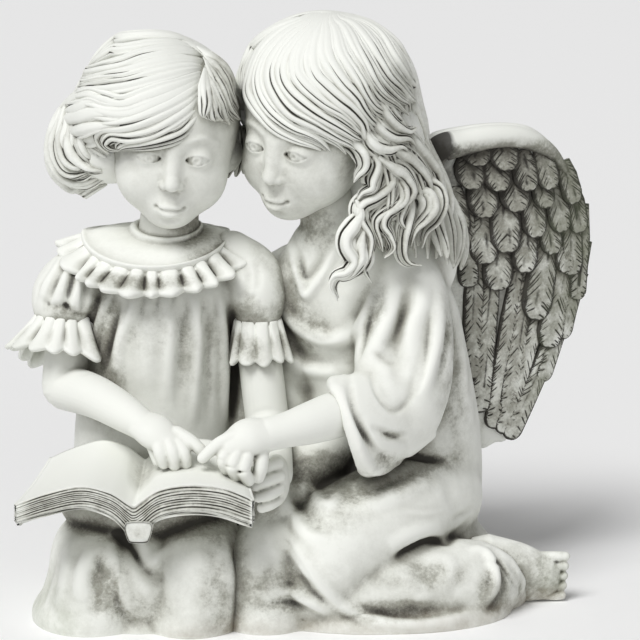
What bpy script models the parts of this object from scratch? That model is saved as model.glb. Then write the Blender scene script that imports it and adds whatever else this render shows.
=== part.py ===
"""A garden statue of two kneeling girls, one of them winged, reading a book: one casting.

Metres, +Z up. The girls face -Y, and the origin is on the ground under the middle of the group.
The free forms are placed in units of their own height: 400 units from the ground to the highest hair.
"""

import math

import bmesh
import bpy
import numpy as np
from mathutils import Euler, Vector
from mathutils.bvhtree import BVHTree

# Driving sizes, in metres
STATUE_HEIGHT = 0.400
BOOK_WIDTH = 0.148
BOOK_LENGTH = 0.072
PAGE_BLOCK_THICKNESS = 0.0145
RUFFLE_THICKNESS = 0.0034
WING_THICKNESS = 0.011
FEATHER_THICKNESS = 0.0030
CLAY_GRAIN = 0.0016
CLOTH_GRAIN = 0.0023
FACET_BUDGET = 9600

UNIT = STATUE_HEIGHT / 400

STONE = (0.80, 0.81, 0.77, 1.0)

# Where the heads sit: middle of the skull at eye level, then yaw, tilt and nod in degrees, and size
GIRL_HEAD = ((-83, -13, 312), (4, 4, 12), 0.99)
ANGEL_HEAD = ((8, -12, 320), (-34, 8, 17), 1.03)
# Hair domes: middle and half sizes
GIRL_HAIR = ((-95, -3, 330), (50, 57, 51))
ANGEL_HAIR = ((16, -3, 337), (55, 60, 57))


class Clay:
    """Overlapping lumps, gathered in units and fused later into one skin."""

    def __init__(self):
        self.points = []
        self.faces = []
        self.count = 0

    def add(self, lump):
        points, faces = lump
        self.points.append(points)
        self.faces += [tuple(i + self.count for i in face) for face in faces]
        self.count += len(points)

    def add_object(self, obj):
        points = np.empty(len(obj.data.vertices) * 3, np.float32)
        obj.data.vertices.foreach_get("co", points)
        faces = [tuple(face.vertices) for face in obj.data.polygons]
        self.add((points.reshape(-1, 3).astype(float) / UNIT, faces))
        bpy.data.objects.remove(obj)

    def to_object(self, name):
        mesh = bpy.data.meshes.new(name)
        mesh.from_pydata((np.vstack(self.points) * UNIT).tolist(), [], self.faces)
        obj = bpy.data.objects.new(name, mesh)
        bpy.context.scene.collection.objects.link(obj)
        return obj


# Curves and skins

def smooth_path(points, steps):
    """A Catmull-Rom curve through rows of numbers, so radii ride along with positions."""
    rows = np.array(points, float)
    padded = np.vstack([2 * rows[0] - rows[1], rows, 2 * rows[-1] - rows[-2]])
    spots = np.linspace(0, len(rows) - 1, steps)
    first = np.minimum(spots.astype(int), len(rows) - 2)
    u = (spots - first)[:, None]
    a, b, c, d = (padded[first + i] for i in range(4))
    curve = 2 * b + (c - a) * u + (2 * a - 5 * b + 4 * c - d) * u**2
    return 0.5 * (curve + (3 * b - a - 3 * c + d) * u**3)


def unit_rows(rows):
    return rows / np.maximum(np.linalg.norm(rows, axis=1, keepdims=True), 1e-9)


def skin(rings):
    """A closed surface over rings of points. A fan at its middle closes each end."""
    rings = np.asarray(rings, float)
    count, sides = rings.shape[:2]
    here = np.arange(count * sides).reshape(count, sides)
    beside = np.roll(here, -1, axis=1)
    quads = np.stack([here[:-1], beside[:-1], beside[1:], here[1:]], -1).reshape(-1, 4)
    low, high = count * sides, count * sides + 1
    fans = [(low, b, a) for a, b in zip(here[0].tolist(), beside[0].tolist())]
    fans += [(high, a, b) for a, b in zip(here[-1].tolist(), beside[-1].tolist())]
    points = np.vstack([rings.reshape(-1, 3), rings[0].mean(0), rings[-1].mean(0)])
    return points, quads.tolist() + fans


def ball(middle, radii, turn=(0, 0, 0)):
    """An ellipsoid, turned by degrees about X, Y and Z."""
    down = np.linspace(0.06, math.pi - 0.06, 17)[:, None]
    around = np.linspace(0, 2 * math.pi, 24, endpoint=False)
    rings = np.stack(
        [np.sin(down) * np.cos(around), np.sin(down) * np.sin(around), np.cos(down) + 0 * around], -1
    )
    matrix = np.array(Euler([math.radians(a) for a in turn]).to_matrix())
    return skin((rings * np.array(radii)) @ matrix.T + np.array(middle))


def limb(path, flat=1.0, up=(0, 0, 1), steps=None, sides=18, round_ends=True):
    """A tapering tube along rows of x, y, z and radius. flat thins it along up."""
    steps = steps or 6 * len(path)
    rows = smooth_path(path, steps)
    middles, radii = rows[:, :3], np.maximum(rows[:, 3], 0.4)
    along = unit_rows(np.gradient(middles, axis=0))
    across = unit_rows(np.cross(along, np.array(up, float)))
    normal = np.cross(across, along)
    if round_ends:
        for end, sign in ((0, -1), (-1, 1)):
            turns = [math.radians(a) for a in (40, 75)]
            caps = [middles[end] + sign * along[end] * radii[end] * math.sin(a) for a in turns]
            rims = [radii[end] * math.cos(a) for a in turns]
            if end == 0:
                middles, radii = np.vstack([caps[::-1], middles]), np.concatenate([rims[::-1], radii])
            else:
                middles, radii = np.vstack([middles, caps]), np.concatenate([radii, rims])
            pad = [(2, 0) if end == 0 else (0, 2), (0, 0)]
            along, across, normal = (np.pad(a, pad, mode="edge") for a in (along, across, normal))
    turn = np.linspace(0, 2 * math.pi, sides, endpoint=False)[None, :, None]
    spread = across[:, None] * np.cos(turn) + normal[:, None] * np.sin(turn) * flat
    return skin(middles[:, None] + spread * radii[:, None, None])


def stack(levels, steps=40, sides=48):
    """A trunk from level ellipses: rows of z, x, y, half width, half depth."""
    rows = smooth_path(levels, steps)
    turn = np.linspace(0, 2 * math.pi, sides, endpoint=False)
    x = rows[:, 1:2] + rows[:, 3:4] * np.cos(turn)
    y = rows[:, 2:3] + rows[:, 4:5] * np.sin(turn)
    return skin(np.stack([x, y, rows[:, 0:1] + 0 * x], -1))


def hoop(middle, half_width, half_depth, pleats, front_drop=0.0, back_rise=0.0, tip=0.0):
    """A ring of points, eight to a pleat. It may sink to the front, rise to the back and tip sideways."""
    turn = np.linspace(0, 2 * math.pi, pleats * 8, endpoint=False)
    x, y = np.cos(turn) * half_width, np.sin(turn) * half_depth
    z = np.where(y < 0, y * front_drop, y * back_rise) + x * tip
    return np.array(middle) + np.stack([x, y, z], -1)


def frill(top, hem, depth, thickness, flare=0.35, seed=0):
    """A gathered band between two hoops of points. Its pleats open towards the hem."""
    pleats = len(top) // 8
    turn = np.linspace(0, 2 * math.pi, len(top), endpoint=False)
    uneven = np.random.default_rng(seed).uniform(0.75, 1.25, pleats)
    swing = np.sin(turn * pleats) * np.repeat(uneven, 8)
    out = np.cross(unit_rows(np.roll(hem, -1, axis=0) - np.roll(hem, 1, axis=0)), unit_rows(hem - top))
    out = unit_rows(out)
    if np.sum(out[:, :2] * (hem - hem.mean(0))[:, :2]) < 0:
        out = -out
    rings = []
    for share in np.linspace(0, 1, 7):
        lift = 2 * flare * depth * share**2 + depth * swing * (0.25 + 0.75 * share)
        rings.append(top + (hem - top) * share + out * lift[:, None])
    return skin(rings + [ring - out * thickness for ring in rings[::-1]])


def lock(rows, width, thick, outward, strands=2):
    """A lock of hair along a dense row of points, flat on what is under it and grooved along its length."""
    along = unit_rows(np.gradient(rows, axis=0))
    normal = unit_rows(outward(rows))
    across = unit_rows(np.cross(along, normal))
    normal = np.cross(across, along)
    share = np.linspace(0, 1, len(rows))
    full = np.minimum(1, 0.25 + 3.5 * share) * np.minimum(1, 0.08 + 2.2 * (1 - share)) ** 0.7
    turn = np.linspace(0, 2 * math.pi, 6 * strands + 6, endpoint=False)
    reach, rise = np.cos(turn), np.sin(turn)
    rise = rise * (1 - 0.28 * (1 - np.cos(reach * math.pi * strands)) * (rise > 0))
    shape = across[:, None] * reach[None, :, None] * width / 2
    shape = shape + normal[:, None] * rise[None, :, None] * thick
    return skin(rows[:, None] + shape * full[:, None, None])


# Heads

def ellipsoid_field(points, middle, radii):
    middle, radii = np.array(middle, float), np.array(radii, float)
    near = np.linalg.norm((points - middle) / radii, axis=1)
    slope = np.linalg.norm((points - middle) / radii**2, axis=1)
    return near * (near - 1) / np.maximum(slope, 1e-6)


def rod_field(points, start, end, start_radius, end_radius):
    start, end = np.array(start, float), np.array(end, float)
    line = end - start
    share = np.clip((points - start) @ line / (line @ line), 0, 1)
    gap = np.linalg.norm(points - start - share[:, None] * line, axis=1)
    return gap - (start_radius + (end_radius - start_radius) * share)


def meld(a, b, soft):
    share = np.clip(0.5 + 0.5 * (b - a) / soft, 0, 1)
    return b * (1 - share) + a * share - soft * share * (1 - share)


def carve_out(a, b, soft):
    return -meld(-a, b, soft)


def curve_field(points, path, radius, tip_radius):
    """A thin bead along a path, thinner at its two ends."""
    found = None
    rows = smooth_path(path, 9)
    radii = tip_radius + (radius - tip_radius) * np.sin(np.linspace(0, math.pi, 9))
    for i in range(8):
        piece = rod_field(points, rows[i], rows[i + 1], radii[i], radii[i + 1])
        found = piece if found is None else np.minimum(found, piece)
    return found


def child_face(points):
    """A calm, round child's face. It looks along -Y, and z is 0 at its eyes."""
    mirrored = points * np.array([-1, 1, 1])
    skull = ellipsoid_field(points, (0, 9, 14), (44, 51, 46))
    face = meld(skull, ellipsoid_field(points, (0, -9, -18), (36, 35, 37)), 16)
    for side in (points, mirrored):
        face = meld(face, ellipsoid_field(side, (20.5, -24, -25), (15, 16, 15.5)), 10)
    face = meld(face, ellipsoid_field(points, (0, -35.5, -46.5), (11, 8.5, 7.5)), 9)
    face = meld(face, ellipsoid_field(points, (0, -39.5, -34.5), (12.5, 8.5, 8.5)), 6)
    for side in (points, mirrored):
        face = carve_out(face, ellipsoid_field(side, (15.5, -50, -0.5), (9.8, 8.6, 6.4)), 5)
        face = meld(face, ellipsoid_field(side, (15.5, -34.2, -0.7), (9.4, 8.6, 8.6)), 1.0)
        brow = [(7, -44.5, 9.6), (15, -44, 12.4), (25, -37.5, 9.4)]
        face = meld(face, curve_field(side, brow, 1.6, 0.8), 5)
        upper_lid = [(7.4, -41.6, -2.2), (11.5, -43.4, 3.0), (16.5, -43.6, 4.4), (23.6, -38.6, -0.4)]
        face = meld(face, curve_field(side, upper_lid, 1.3, 0.6), 1.0)
        lower_lid = [(7.6, -41.6, -2.8), (14.5, -43.0, -5.6), (23.0, -38.6, -1.8)]
        face = meld(face, curve_field(side, lower_lid, 1.0, 0.5), 1.2)
    bridge = rod_field(points, (0, -40.5, 4), (0, -47.5, -15), 3.4, 4.2)
    face = meld(face, bridge, 6)
    face = meld(face, ellipsoid_field(points, (0, -48.2, -17.5), (5.3, 4.8, 4.6)), 3)
    for side in (points, mirrored):
        face = meld(face, ellipsoid_field(side, (5.3, -44.6, -19.2), (3.4, 4.0, 3.2)), 2)
        face = carve_out(face, ellipsoid_field(side, (2.9, -48.4, -22.6), (1.7, 2.4, 1.3)), 1)
    face = carve_out(face, rod_field(points, (0, -49.6, -25), (0, -49.8, -29), 1.1, 1.3), 2)
    lower_lip = [(-7.6, -45.0, -37.8), (0, -46.8, -39.2), (7.6, -45.0, -37.8)]
    face = meld(face, curve_field(points, lower_lip, 2.6, 1.2), 2)
    for side in (points, mirrored):
        upper_lip = [(-0.6, -47.6, -33.2), (4.5, -46.8, -32.8), (9.8, -43.2, -35.0)]
        face = meld(face, curve_field(side, upper_lip, 1.9, 0.8), 1.5)
    mouth = [
        (-10, -44.8, -34.6), (-5, -48.4, -35.8), (0, -49.2, -35.5), (5, -48.4, -35.8),
        (10, -44.8, -34.6),
    ]
    return carve_out(face, curve_field(points, mouth, 0.9, 0.6), 0.9)


def head_lump(place, fineness):
    """The face pulled onto a fine sphere of rays, then turned and set in place."""
    origin, (yaw, tilt, nod), size = place
    bm = bmesh.new()
    bmesh.ops.create_icosphere(bm, subdivisions=fineness, radius=1)
    rays = np.array([v.co for v in bm.verts])
    faces = [[v.index for v in face.verts] for face in bm.faces]
    bm.free()
    rays = unit_rows(rays + np.array([0, -0.45, 0]))
    middle = np.array([0, -4.0, -8.0])
    reach = np.full(len(rays), 85.0)
    for _ in range(36):
        reach -= 0.9 * child_face(middle + rays * reach[:, None])
    points = (middle + rays * reach[:, None]) * size
    turned = points @ np.array(head_matrix(yaw, tilt, nod)).T
    return turned + np.array(origin), faces


def head_matrix(yaw, tilt, nod):
    turns = [math.radians(a) for a in (yaw, tilt, nod)]
    return (
        Euler((0, 0, turns[0])).to_matrix()
        @ Euler((0, turns[1], 0)).to_matrix()
        @ Euler((turns[2], 0, 0)).to_matrix()
    )


# Hair

def dome_point(dome, around, up, lift=0.0):
    """A point on a hair dome: around from the front towards +X and up from its middle, in degrees."""
    middle, radii = dome
    a, e = math.radians(around), math.radians(up)
    ray = np.array([math.cos(e) * math.sin(a), -math.cos(e) * math.cos(a), math.sin(e)])
    return np.array(middle) + ray * (np.array(radii) + lift)


def hug(dome, rows, lift=0.0, hold=1.0):
    """Pulls a row of points onto a hair dome. Past the share called hold, it lets go."""
    middle, radii = np.array(dome[0], float), np.array(dome[1], float)
    ray = rows - middle
    near = np.linalg.norm(ray / radii, axis=1, keepdims=True)
    held = middle + ray / near + unit_rows(ray / radii**2) * lift
    share = np.linspace(0, 1, len(rows))[:, None]
    free = np.clip((share - hold) * 6, 0, 1)
    return held * (1 - free) + rows * free


def on_dome(dome, x, z):
    """The front point of a hair dome over x and z. Past its rim, the point stays at the rim's depth."""
    (cx, cy, cz), (rx, ry, rz) = dome
    left = 1 - ((x - cx) / rx) ** 2 - ((z - cz) / rz) ** 2
    return (x, cy - ry * math.sqrt(max(left, 0.0)), z)


def from_dome(dome):
    middle, radii = np.array(dome[0]), np.array(dome[1])
    return lambda rows: (rows - middle) / radii**2


def hair_cap(dome, facing, tilt, spread):
    """The dome under the locks. It leaves the face free: its axis leans away from where the face looks."""
    middle, radii = np.array(dome[0], float), np.array(dome[1], float) - 1.5
    lean, turn = math.radians(tilt), math.radians(facing)
    axis = Vector((-math.sin(turn) * math.sin(lean), math.cos(turn) * math.sin(lean), math.cos(lean)))
    matrix = np.array(axis.to_track_quat("Z", "Y").to_matrix())
    down = np.radians([4, 14, 26, 38, 50, 62, 74, 86, spread, spread, spread])[:, None]
    deep = np.array([1] * 9 + [0.85, 0.6])[:, None, None]
    around = np.linspace(0, 2 * math.pi, 48, endpoint=False)
    rays = [np.sin(down) * np.cos(around), np.sin(down) * np.sin(around), np.cos(down) + 0 * around]
    rings = (np.stack(rays, -1) @ matrix.T) * radii * deep
    return skin(middle + rings[::-1])


def front_locks(clay, dome, routes, width, thick, strands=2):
    for route in routes:
        rows = smooth_path([on_dome(dome, x, z) for x, z in route], 5 * len(route))
        clay.add(lock(rows, width, thick, from_dome(dome), strands))


def back_locks(clay, dome, part, turns, levels, width, thick):
    """Locks from the parting that fall over the back. A level is a height in degrees, a sway and a lift."""
    for turn in turns:
        points = [dome_point(dome, *part)]
        points += [dome_point(dome, turn + sway, up, lift) for up, sway, lift in levels]
        rows = hug(dome, smooth_path(points, 26), 1.0, 0.72)
        clay.add(lock(rows, width, thick, from_dome(dome), 2))


def free_locks(clay, routes, width, thick, around):
    """Locks that hang clear of the head. around is the upright axis they stand off from."""
    middle = np.array([*around, 0.0])
    for route in routes:
        rows = smooth_path([(x, y, z) for x, z, y in route], 6 * len(route))
        clay.add(lock(rows, width, thick, lambda spots: (spots - middle) * np.array([1, 1, 0]), 2))


GIRL_SWEEP = [
    [(-62, 372), (-92, 383), (-122, 372), (-141, 351), (-151, 328)],
    [(-62, 366), (-96, 375), (-125, 362), (-142, 342), (-150, 322)],
    [(-61, 361), (-96, 367), (-125, 354), (-141, 338), (-149, 318)],
    [(-60, 357), (-90, 358), (-118, 348), (-138, 336), (-147, 315)],
    [(-59, 354), (-84, 349), (-112, 342), (-132, 340), (-143, 326), (-143, 311), (-133, 302)],
    [(-58, 352), (-79, 342), (-108, 333), (-126, 335), (-138, 324), (-136, 310), (-124, 303)],
    [(-58, 350), (-73, 337), (-95, 329), (-117, 330), (-130, 324), (-129, 312), (-117, 305)],
    [(-57, 347), (-69, 331), (-92, 322), (-111, 320), (-120, 313), (-112, 307)],
    [(-56, 345), (-65, 328), (-84, 318), (-103, 314), (-114, 308)],
]
GIRL_SHORT_SIDE = [
    [(-68, 368), (-60, 352), (-57, 340), (-58, 326)],
    [(-66, 370), (-56, 356), (-51, 340), (-50, 322)],
    [(-64, 371), (-53, 360), (-46, 344), (-45, 322)],
]
GIRL_FLIP = [
    [
        (-148, 330, 10), (-161, 313, 6), (-162, 299, 2), (-156, 286, -4), (-143, 277, -10),
        (-128, 282, -14),
    ],
    [
        (-146, 326, -2), (-155, 309, -6), (-155, 297, -10), (-148, 288, -14), (-137, 283, -18),
        (-126, 289, -20),
    ],
    [(-142, 316, -10), (-148, 304, -14), (-144, 295, -18), (-134, 290, -22), (-124, 295, -24)],
    [(-146, 330, 26), (-160, 310, 22), (-160, 294, 16), (-150, 281, 8), (-136, 277, 2)],
    [(-140, 330, 40), (-152, 308, 38), (-150, 290, 32), (-138, 277, 24)],
]


def girl_hair(clay):
    clay.add(hair_cap(GIRL_HAIR, 4, 26, 102))
    clay.add(ball((-92, 8, 326), (46, 46, 46)))
    clay.add(ball((-126, 6, 300), (26, 34, 20)))
    clay.add(ball((-66, 14, 302), (30, 36, 22)))
    front_locks(clay, GIRL_HAIR, GIRL_SWEEP, 15, 5.5)
    front_locks(clay, GIRL_HAIR, GIRL_SHORT_SIDE, 10, 5)
    free_locks(clay, GIRL_FLIP, 13, 6, (-95, 0))
    curl = [(46, 0, 0), (6, 0, 1), (-26, 2, 2), (-46, 4, 10), (-52, 0, 2)]
    back_locks(clay, GIRL_HAIR, (60, 66), range(74, 256, 14), curl, 19, 6)


ANGEL_FRINGE = [
    [(2, 397), (-25, 382), (-38, 362), (-37, 342)],
    [(2, 397), (-24, 381), (-35, 362), (-33, 346), (-24, 329), (-11, 320), (5, 312), (17, 307)],
    [(4, 396), (-19, 380), (-28, 362), (-23, 343), (-12, 331), (2, 325), (12, 320)],
    [(7, 395), (-11, 378), (-17, 359), (-8, 343), (5, 331), (14, 320), (26, 315), (37, 308)],
    [(9, 393), (-3, 375), (-5, 358), (5, 345), (19, 332), (29, 325), (38, 314)],
    [(11, 391), (10, 372), (14, 354), (24, 338), (34, 326), (40, 312)],
    [(13, 391), (19, 369), (27, 348), (33, 331), (38, 317), (47, 305), (55, 303), (62, 307)],
    [(18, 391), (27, 368), (33, 349), (38, 334), (46, 324), (57, 318), (68, 315)],
    [(22, 390), (31, 374), (38, 360), (42, 346), (49, 334), (62, 328)],
    [(27, 390), (39, 375), (50, 360), (59, 347), (68, 336), (75, 321)],
    [(31, 390), (46, 378), (59, 362), (68, 348), (76, 330)],
]
ANGEL_FALLS = [
    [(16, 319, -50), (29, 312, -50), (38, 303, -48), (37, 294, -48), (31, 287, -50)],
    [
        (41, 306, -46), (47, 288, -48), (34, 277, -50), (33, 266, -50), (41, 253, -50), (43, 241, -50),
        (39, 231, -51), (44, 222, -52),
    ],
    [(50, 306, -40), (58, 289, -44), (46, 275, -46), (49, 262, -46), (57, 252, -46), (54, 239, -48)],
    [(58, 303, -34), (66, 281, -38), (53, 267, -42), (57, 256, -42), (60, 246, -42), (52, 237, -45)],
    [(67, 299, -26), (82, 278, -30), (69, 266, -34), (62, 254, -38), (64, 241, -38), (76, 230, -38)],
    [(74, 302, -14), (90, 275, -18), (82, 259, -24), (75, 250, -28), (78, 240, -30)],
    [(37, 274, -50), (29, 260, -52), (29, 247, -54), (33, 239, -54), (21, 228, -53), (17, 220, -52)],
    [(80, 300, 0), (92, 274, 0), (100, 256, 0), (95, 238, 0), (99, 222, -2)],
    [(82, 296, 12), (98, 263, 14), (105, 245, 15), (106, 230, 14)],
    [(80, 280, 22), (98, 244, 26), (107, 224, 26), (112, 208, 24)],
]


def angel_hair(clay):
    clay.add(hair_cap(ANGEL_HAIR, -34, 28, 100))
    clay.add(ball((20, 8, 332), (48, 46, 50)))
    clay.add(ball((50, -12, 316), (25, 34, 26)))
    clay.add(limb([(60, -4, 316, 22), (64, 0, 285, 24), (66, 4, 255, 22), (68, 6, 232, 14)]))
    clay.add(limb([(44, 18, 320, 34), (50, 22, 285, 34), (54, 24, 250, 28), (56, 26, 222, 18)]))
    front_locks(clay, ANGEL_HAIR, ANGEL_FRINGE, 13, 5.5)
    free_locks(clay, ANGEL_FALLS, 13, 6.5, (40, 10))
    for around in range(96, 262, 15):
        share = (around - 96) / 166
        points = [dome_point(ANGEL_HAIR, 60, 80), dome_point(ANGEL_HAIR, around, 44, 1)]
        points.append(dome_point(ANGEL_HAIR, around, 0, 3))
        sway = 5 * math.sin(around)
        fall = np.array([84 - 78 * share, 20 + 36 * math.sin(share * math.pi), 262.0])
        points += [fall, fall + np.array([5 + sway, 7, -44 + 3 * sway])]
        rows = smooth_path(points, 30)
        rows[:15] = hug(ANGEL_HAIR, rows[:15], 1.5)
        clay.add(lock(rows, 21, 7, from_dome(ANGEL_HAIR), 2))


# Girl with the book

def girl_body(clay):
    trunk = [
        (-8, -104, -12, 64, 74), (16, -104, -12, 65, 74), (42, -101, -6, 58, 62), (66, -98, 0, 54, 54),
        (90, -98, 2, 55, 50), (115, -99, 1, 53, 47), (150, -96, -1, 52, 43), (185, -92, -3, 49, 41),
        (210, -91, -3, 52, 37), (228, -92, -2, 47, 31), (240, -91, -3, 32, 25), (250, -89, -5, 20, 20),
    ]
    clay.add(stack(trunk))
    join = [
        (-4, -28, 8, 36, 52), (60, -28, 10, 30, 42), (130, -28, 12, 26, 28), (200, -26, 12, 22, 20),
        (222, -26, 12, 14, 14),
    ]
    clay.add(stack(join))
    clay.add(limb([(-88, -5, 238, 21), (-86, -8, 262, 19.5), (-84, -8, 285, 20)]))
    # each knee with its thigh, and the cloth between them
    left = [
        (-8, -136, -50, 40, 54), (6, -136, -52, 41, 56), (18, -134, -56, 36, 52), (34, -133, -58, 32, 49),
        (48, -132, -56, 31, 46), (60, -131, -50, 26, 38), (68, -128, -44, 14, 24),
    ]
    right = [
        (-8, -70, -54, 38, 54), (8, -70, -56, 38, 56), (24, -68, -60, 36, 51), (40, -67, -62, 34, 47),
        (54, -66, -60, 29, 42), (66, -66, -54, 20, 30), (72, -68, -48, 11, 18),
    ]
    between = [
        (-8, -104, -48, 34, 54), (10, -104, -48, 30, 48), (34, -104, -44, 26, 36),
        (60, -104, -34, 26, 32),
    ]
    clay.add(stack(left))
    clay.add(stack(right))
    clay.add(stack(between))
    clay.add(limb([(-118, -6, 46, 36), (-130, -50, 46, 30)]))
    clay.add(limb([(-82, -6, 48, 36), (-70, -54, 48, 30)]))
    # the cloth that carries the book on her lap
    clay.add(limb([(-103, -104, 58, 9), (-102, -84, 70, 15), (-100, -50, 84, 26)]))
    clay.add(ball((-104, -54, 78), (54, 34, 26)))


def girl_dress(clay):
    neck = hoop((-89, -4, 250), 22, 20, 30, 0.30, 0.10)
    yoke = hoop((-96, -1, 248), 48, 45, 30, 0.38, -0.05)
    clay.add(frill(neck, yoke, 0.1, 8, 0))
    top = hoop((-96, -1, 249), 45, 42, 34, 0.38, -0.05)
    hem = hoop((-97, -2, 239), 64, 57, 34, 0.42, -0.05)
    clay.add(frill(top, hem, 1.8, RUFFLE_THICKNESS / UNIT + 2, 1.2, 3))


def puff_sleeves(soft, clay):
    soft.add(limb([(-134, -4, 226, 20), (-149, -7, 211, 26), (-155, -10, 198, 25), (-158, -13, 187, 18)]))
    top = hoop((-157, -13, 191), 17, 15, 15, tip=0.12)
    hem = hoop((-159, -16, 161), 30, 27, 15, 0.1, 0, 0.10)
    clay.add(frill(top, hem, 2.2, RUFFLE_THICKNESS / UNIT, 0.6, 5))
    soft.add(limb([(-46, -4, 232, 18), (-33, -8, 220, 21), (-29, -12, 204, 20), (-28, -15, 190, 15)]))
    top = hoop((-28, -15, 191), 14, 13, 13)
    hem = hoop((-27, -18, 167), 20, 18, 13, 0.1)
    clay.add(frill(top, hem, 1.4, RUFFLE_THICKNESS / UNIT, 0.5, 7))


def fingers(clay, rows):
    for path in rows:
        clay.add(limb(path, sides=12, steps=10))


def girl_arms(clay):
    clay.add(limb([(-148, -10, 200, 15), (-154, -16, 170, 15.5), (-156, -22, 148, 15.5)]))
    clay.add(limb([
        (-155, -22, 147, 15.5), (-133, -50, 146, 14), (-112, -74, 140, 12), (-101, -84, 135, 10.2),
    ]))
    # her right hand rests on the page, and one finger points
    clay.add(limb([
        (-103, -83, 136, 10), (-92, -92, 132, 12.5), (-83, -97, 126, 10),
    ], flat=0.75, up=(0.3, -0.8, 0.6)))
    fingers(clay, [
        [(-90, -99, 128, 4.8), (-88, -104, 121, 5.0), (-86, -103, 114, 4.4)],
        [(-83, -101, 127, 4.8), (-80, -105, 121, 5.0), (-79, -104, 113, 4.4)],
        [(-77, -100, 127, 4.6), (-73, -104, 121, 4.8), (-72, -103, 114, 4.2)],
        [(-78, -95, 132, 5.2), (-68, -100, 127, 5.0), (-59, -103, 119, 4.0)],
        [(-95, -90, 128, 5.2), (-92, -95, 120, 4.8), (-90, -97, 114, 4.2)],
    ])
    clay.add(limb([(-30, -14, 195, 14), (-26, -18, 160, 14.5), (-22, -26, 128, 14.5)]))
    clay.add(limb([(-22, -26, 126, 14.5), (-18, -50, 112, 13), (-15, -74, 100, 11)]))
    clay.add(ball((-15, -78, 97), (9, 13, 17)))
    fingers(clay, [
        [(-14, -86, 110, 4.6), (-21, -92, 109, 4.8), (-29, -94, 106, 4.4)],
        [(-13, -88, 102, 4.8), (-20, -94, 101, 5.0), (-28, -96, 98, 4.4)],
        [(-13, -88, 94, 4.8), (-19, -94, 92, 4.8), (-26, -95, 90, 4.2)],
        [(-14, -86, 86, 4.4), (-19, -91, 84, 4.4), (-24, -92, 82, 3.8)],
    ])


PAGE_TOPS = [
    (-1.0, 0.0), (-0.76, 6.5), (-0.46, 11.5), (-0.22, 8.0), (-0.06, 1.0), (0.0, -1.0),
    (0.06, 2.0), (0.22, 9.5), (0.47, 12.5), (0.74, 11.0), (0.93, 6.0), (1.0, 3.0),
]
BLOCK_DEPTHS = [
    (-1.0, 0.93), (-0.76, 0.98), (-0.46, 1.0), (-0.22, 1.05), (-0.06, 1.25), (0.0, 1.4),
    (0.06, 1.3), (0.22, 1.1), (0.47, 1.05), (0.74, 1.2), (0.93, 1.25), (1.0, 1.2),
]


def book(clay):
    """An open book: two arched page blocks that rise towards the readers, and a rounded spine."""
    half = BOOK_WIDTH / UNIT / 2
    thick = PAGE_BLOCK_THICKNESS / UNIT
    length = BOOK_LENGTH / UNIT
    tops, depths = smooth_path(PAGE_TOPS, 61), smooth_path(BLOCK_DEPTHS, 61)
    rings = []
    for share in np.linspace(0, 1, 13):
        x = -103 + tops[:, 0] * half * (1 - 0.17 * share) + 3 * share
        top = 94.5 + tops[:, 1] + 14.5 * share - 2 * math.sin(share * math.pi)
        y = np.full(len(x), -132 + length * 0.94 * share)
        upper = np.stack([x, y, top], -1)
        lower = np.stack([x, y, top - thick * depths[:, 1]], -1)[::-1]
        rings.append(np.vstack([upper, lower]))
    clay.add(skin(rings))
    clay.add(limb([(-103, -131, 79, 8), (-102, -100, 85, 8), (-100, -68, 92, 8)], flat=0.8))


# Winged girl

def angel_body(clay):
    trunk = [
        (-8, 56, -2, 80, 72), (16, 60, 0, 82, 74), (34, 64, 4, 68, 66), (48, 65, 8, 56, 58),
        (58, 66, 10, 56, 56),
        (80, 66, 12, 58, 53), (115, 62, 12, 60, 48), (150, 56, 11, 60, 44), (175, 50, 9, 61, 41),
        (200, 43, 6, 62, 37), (218, 37, 3, 57, 33), (232, 29, 0, 42, 27), (243, 20, -4, 27, 21),
        (252, 16, -5, 18, 17),
    ]
    clay.add(stack(trunk))
    clay.add(limb([(24, -3, 232, 20), (18, -5, 262, 18.5), (12, -5, 290, 20)]))
    # left thigh and shin, then the right knee
    clay.add(limb([(88, -4, 70, 36), (58, -40, 62, 38), (22, -66, 48, 36), (12, -70, 30, 32)]))
    clay.add(limb([
        (16, -66, 20, 31), (60, -62, 20, 31), (104, -50, 20, 30), (134, -34, 18, 25), (144, -28, 17, 20),
    ]))
    clay.add(limb([(35, -10, 56, 36), (-4, -52, 46, 34), (-20, -68, 38, 30), (-24, -74, 24, 28)]))
    clay.add(stack([
        (-8, -22, -58, 34, 42), (8, -22, -60, 34, 43), (28, -22, -62, 31, 38), (48, -22, -56, 26, 32),
        (62, -20, -46, 18, 22),
    ]))
    clay.add(ball((50, -42, 2), (92, 60, 20)))
    clay.add(ball((112, -12, 10), (44, 48, 30)))
    clay.add(limb([(-14, -60, 66, 18), (-2, -38, 88, 20), (18, -18, 110, 24)]))
    # a wide sleeve falls from the left shoulder over the elbow
    clay.add(limb([
        (70, 0, 226, 20), (74, -8, 208, 24), (76, -20, 182, 26), (72, -32, 156, 29), (64, -40, 138, 31),
    ]))
    # her right arm goes round the other girl's back
    clay.add(limb([(0, 14, 218, 22), (-28, 36, 198, 22), (-58, 46, 178, 18), (-76, 46, 170, 14)]))
    clay.add(limb([(-70, 46, 172, 11), (-92, 47, 165, 10), (-106, 44, 160, 9)]))


def angel_foot(clay):
    clay.add(limb([
        (132, -24, 20, 24), (150, -22, 20, 20), (164, -21, 17, 19), (173, -20, 17, 17),
    ], flat=0.6, up=(0.25, 1, 0)))
    for i in range(5):
        z = 3.5 + 6.6 * i
        clay.add(limb([
            (166, -21, z + 1, 5.0), (176 + 0.5 * i, -21, z, 4.2), (181 + 0.5 * i, -21, z, 3.8),
        ], sides=12))


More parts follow.
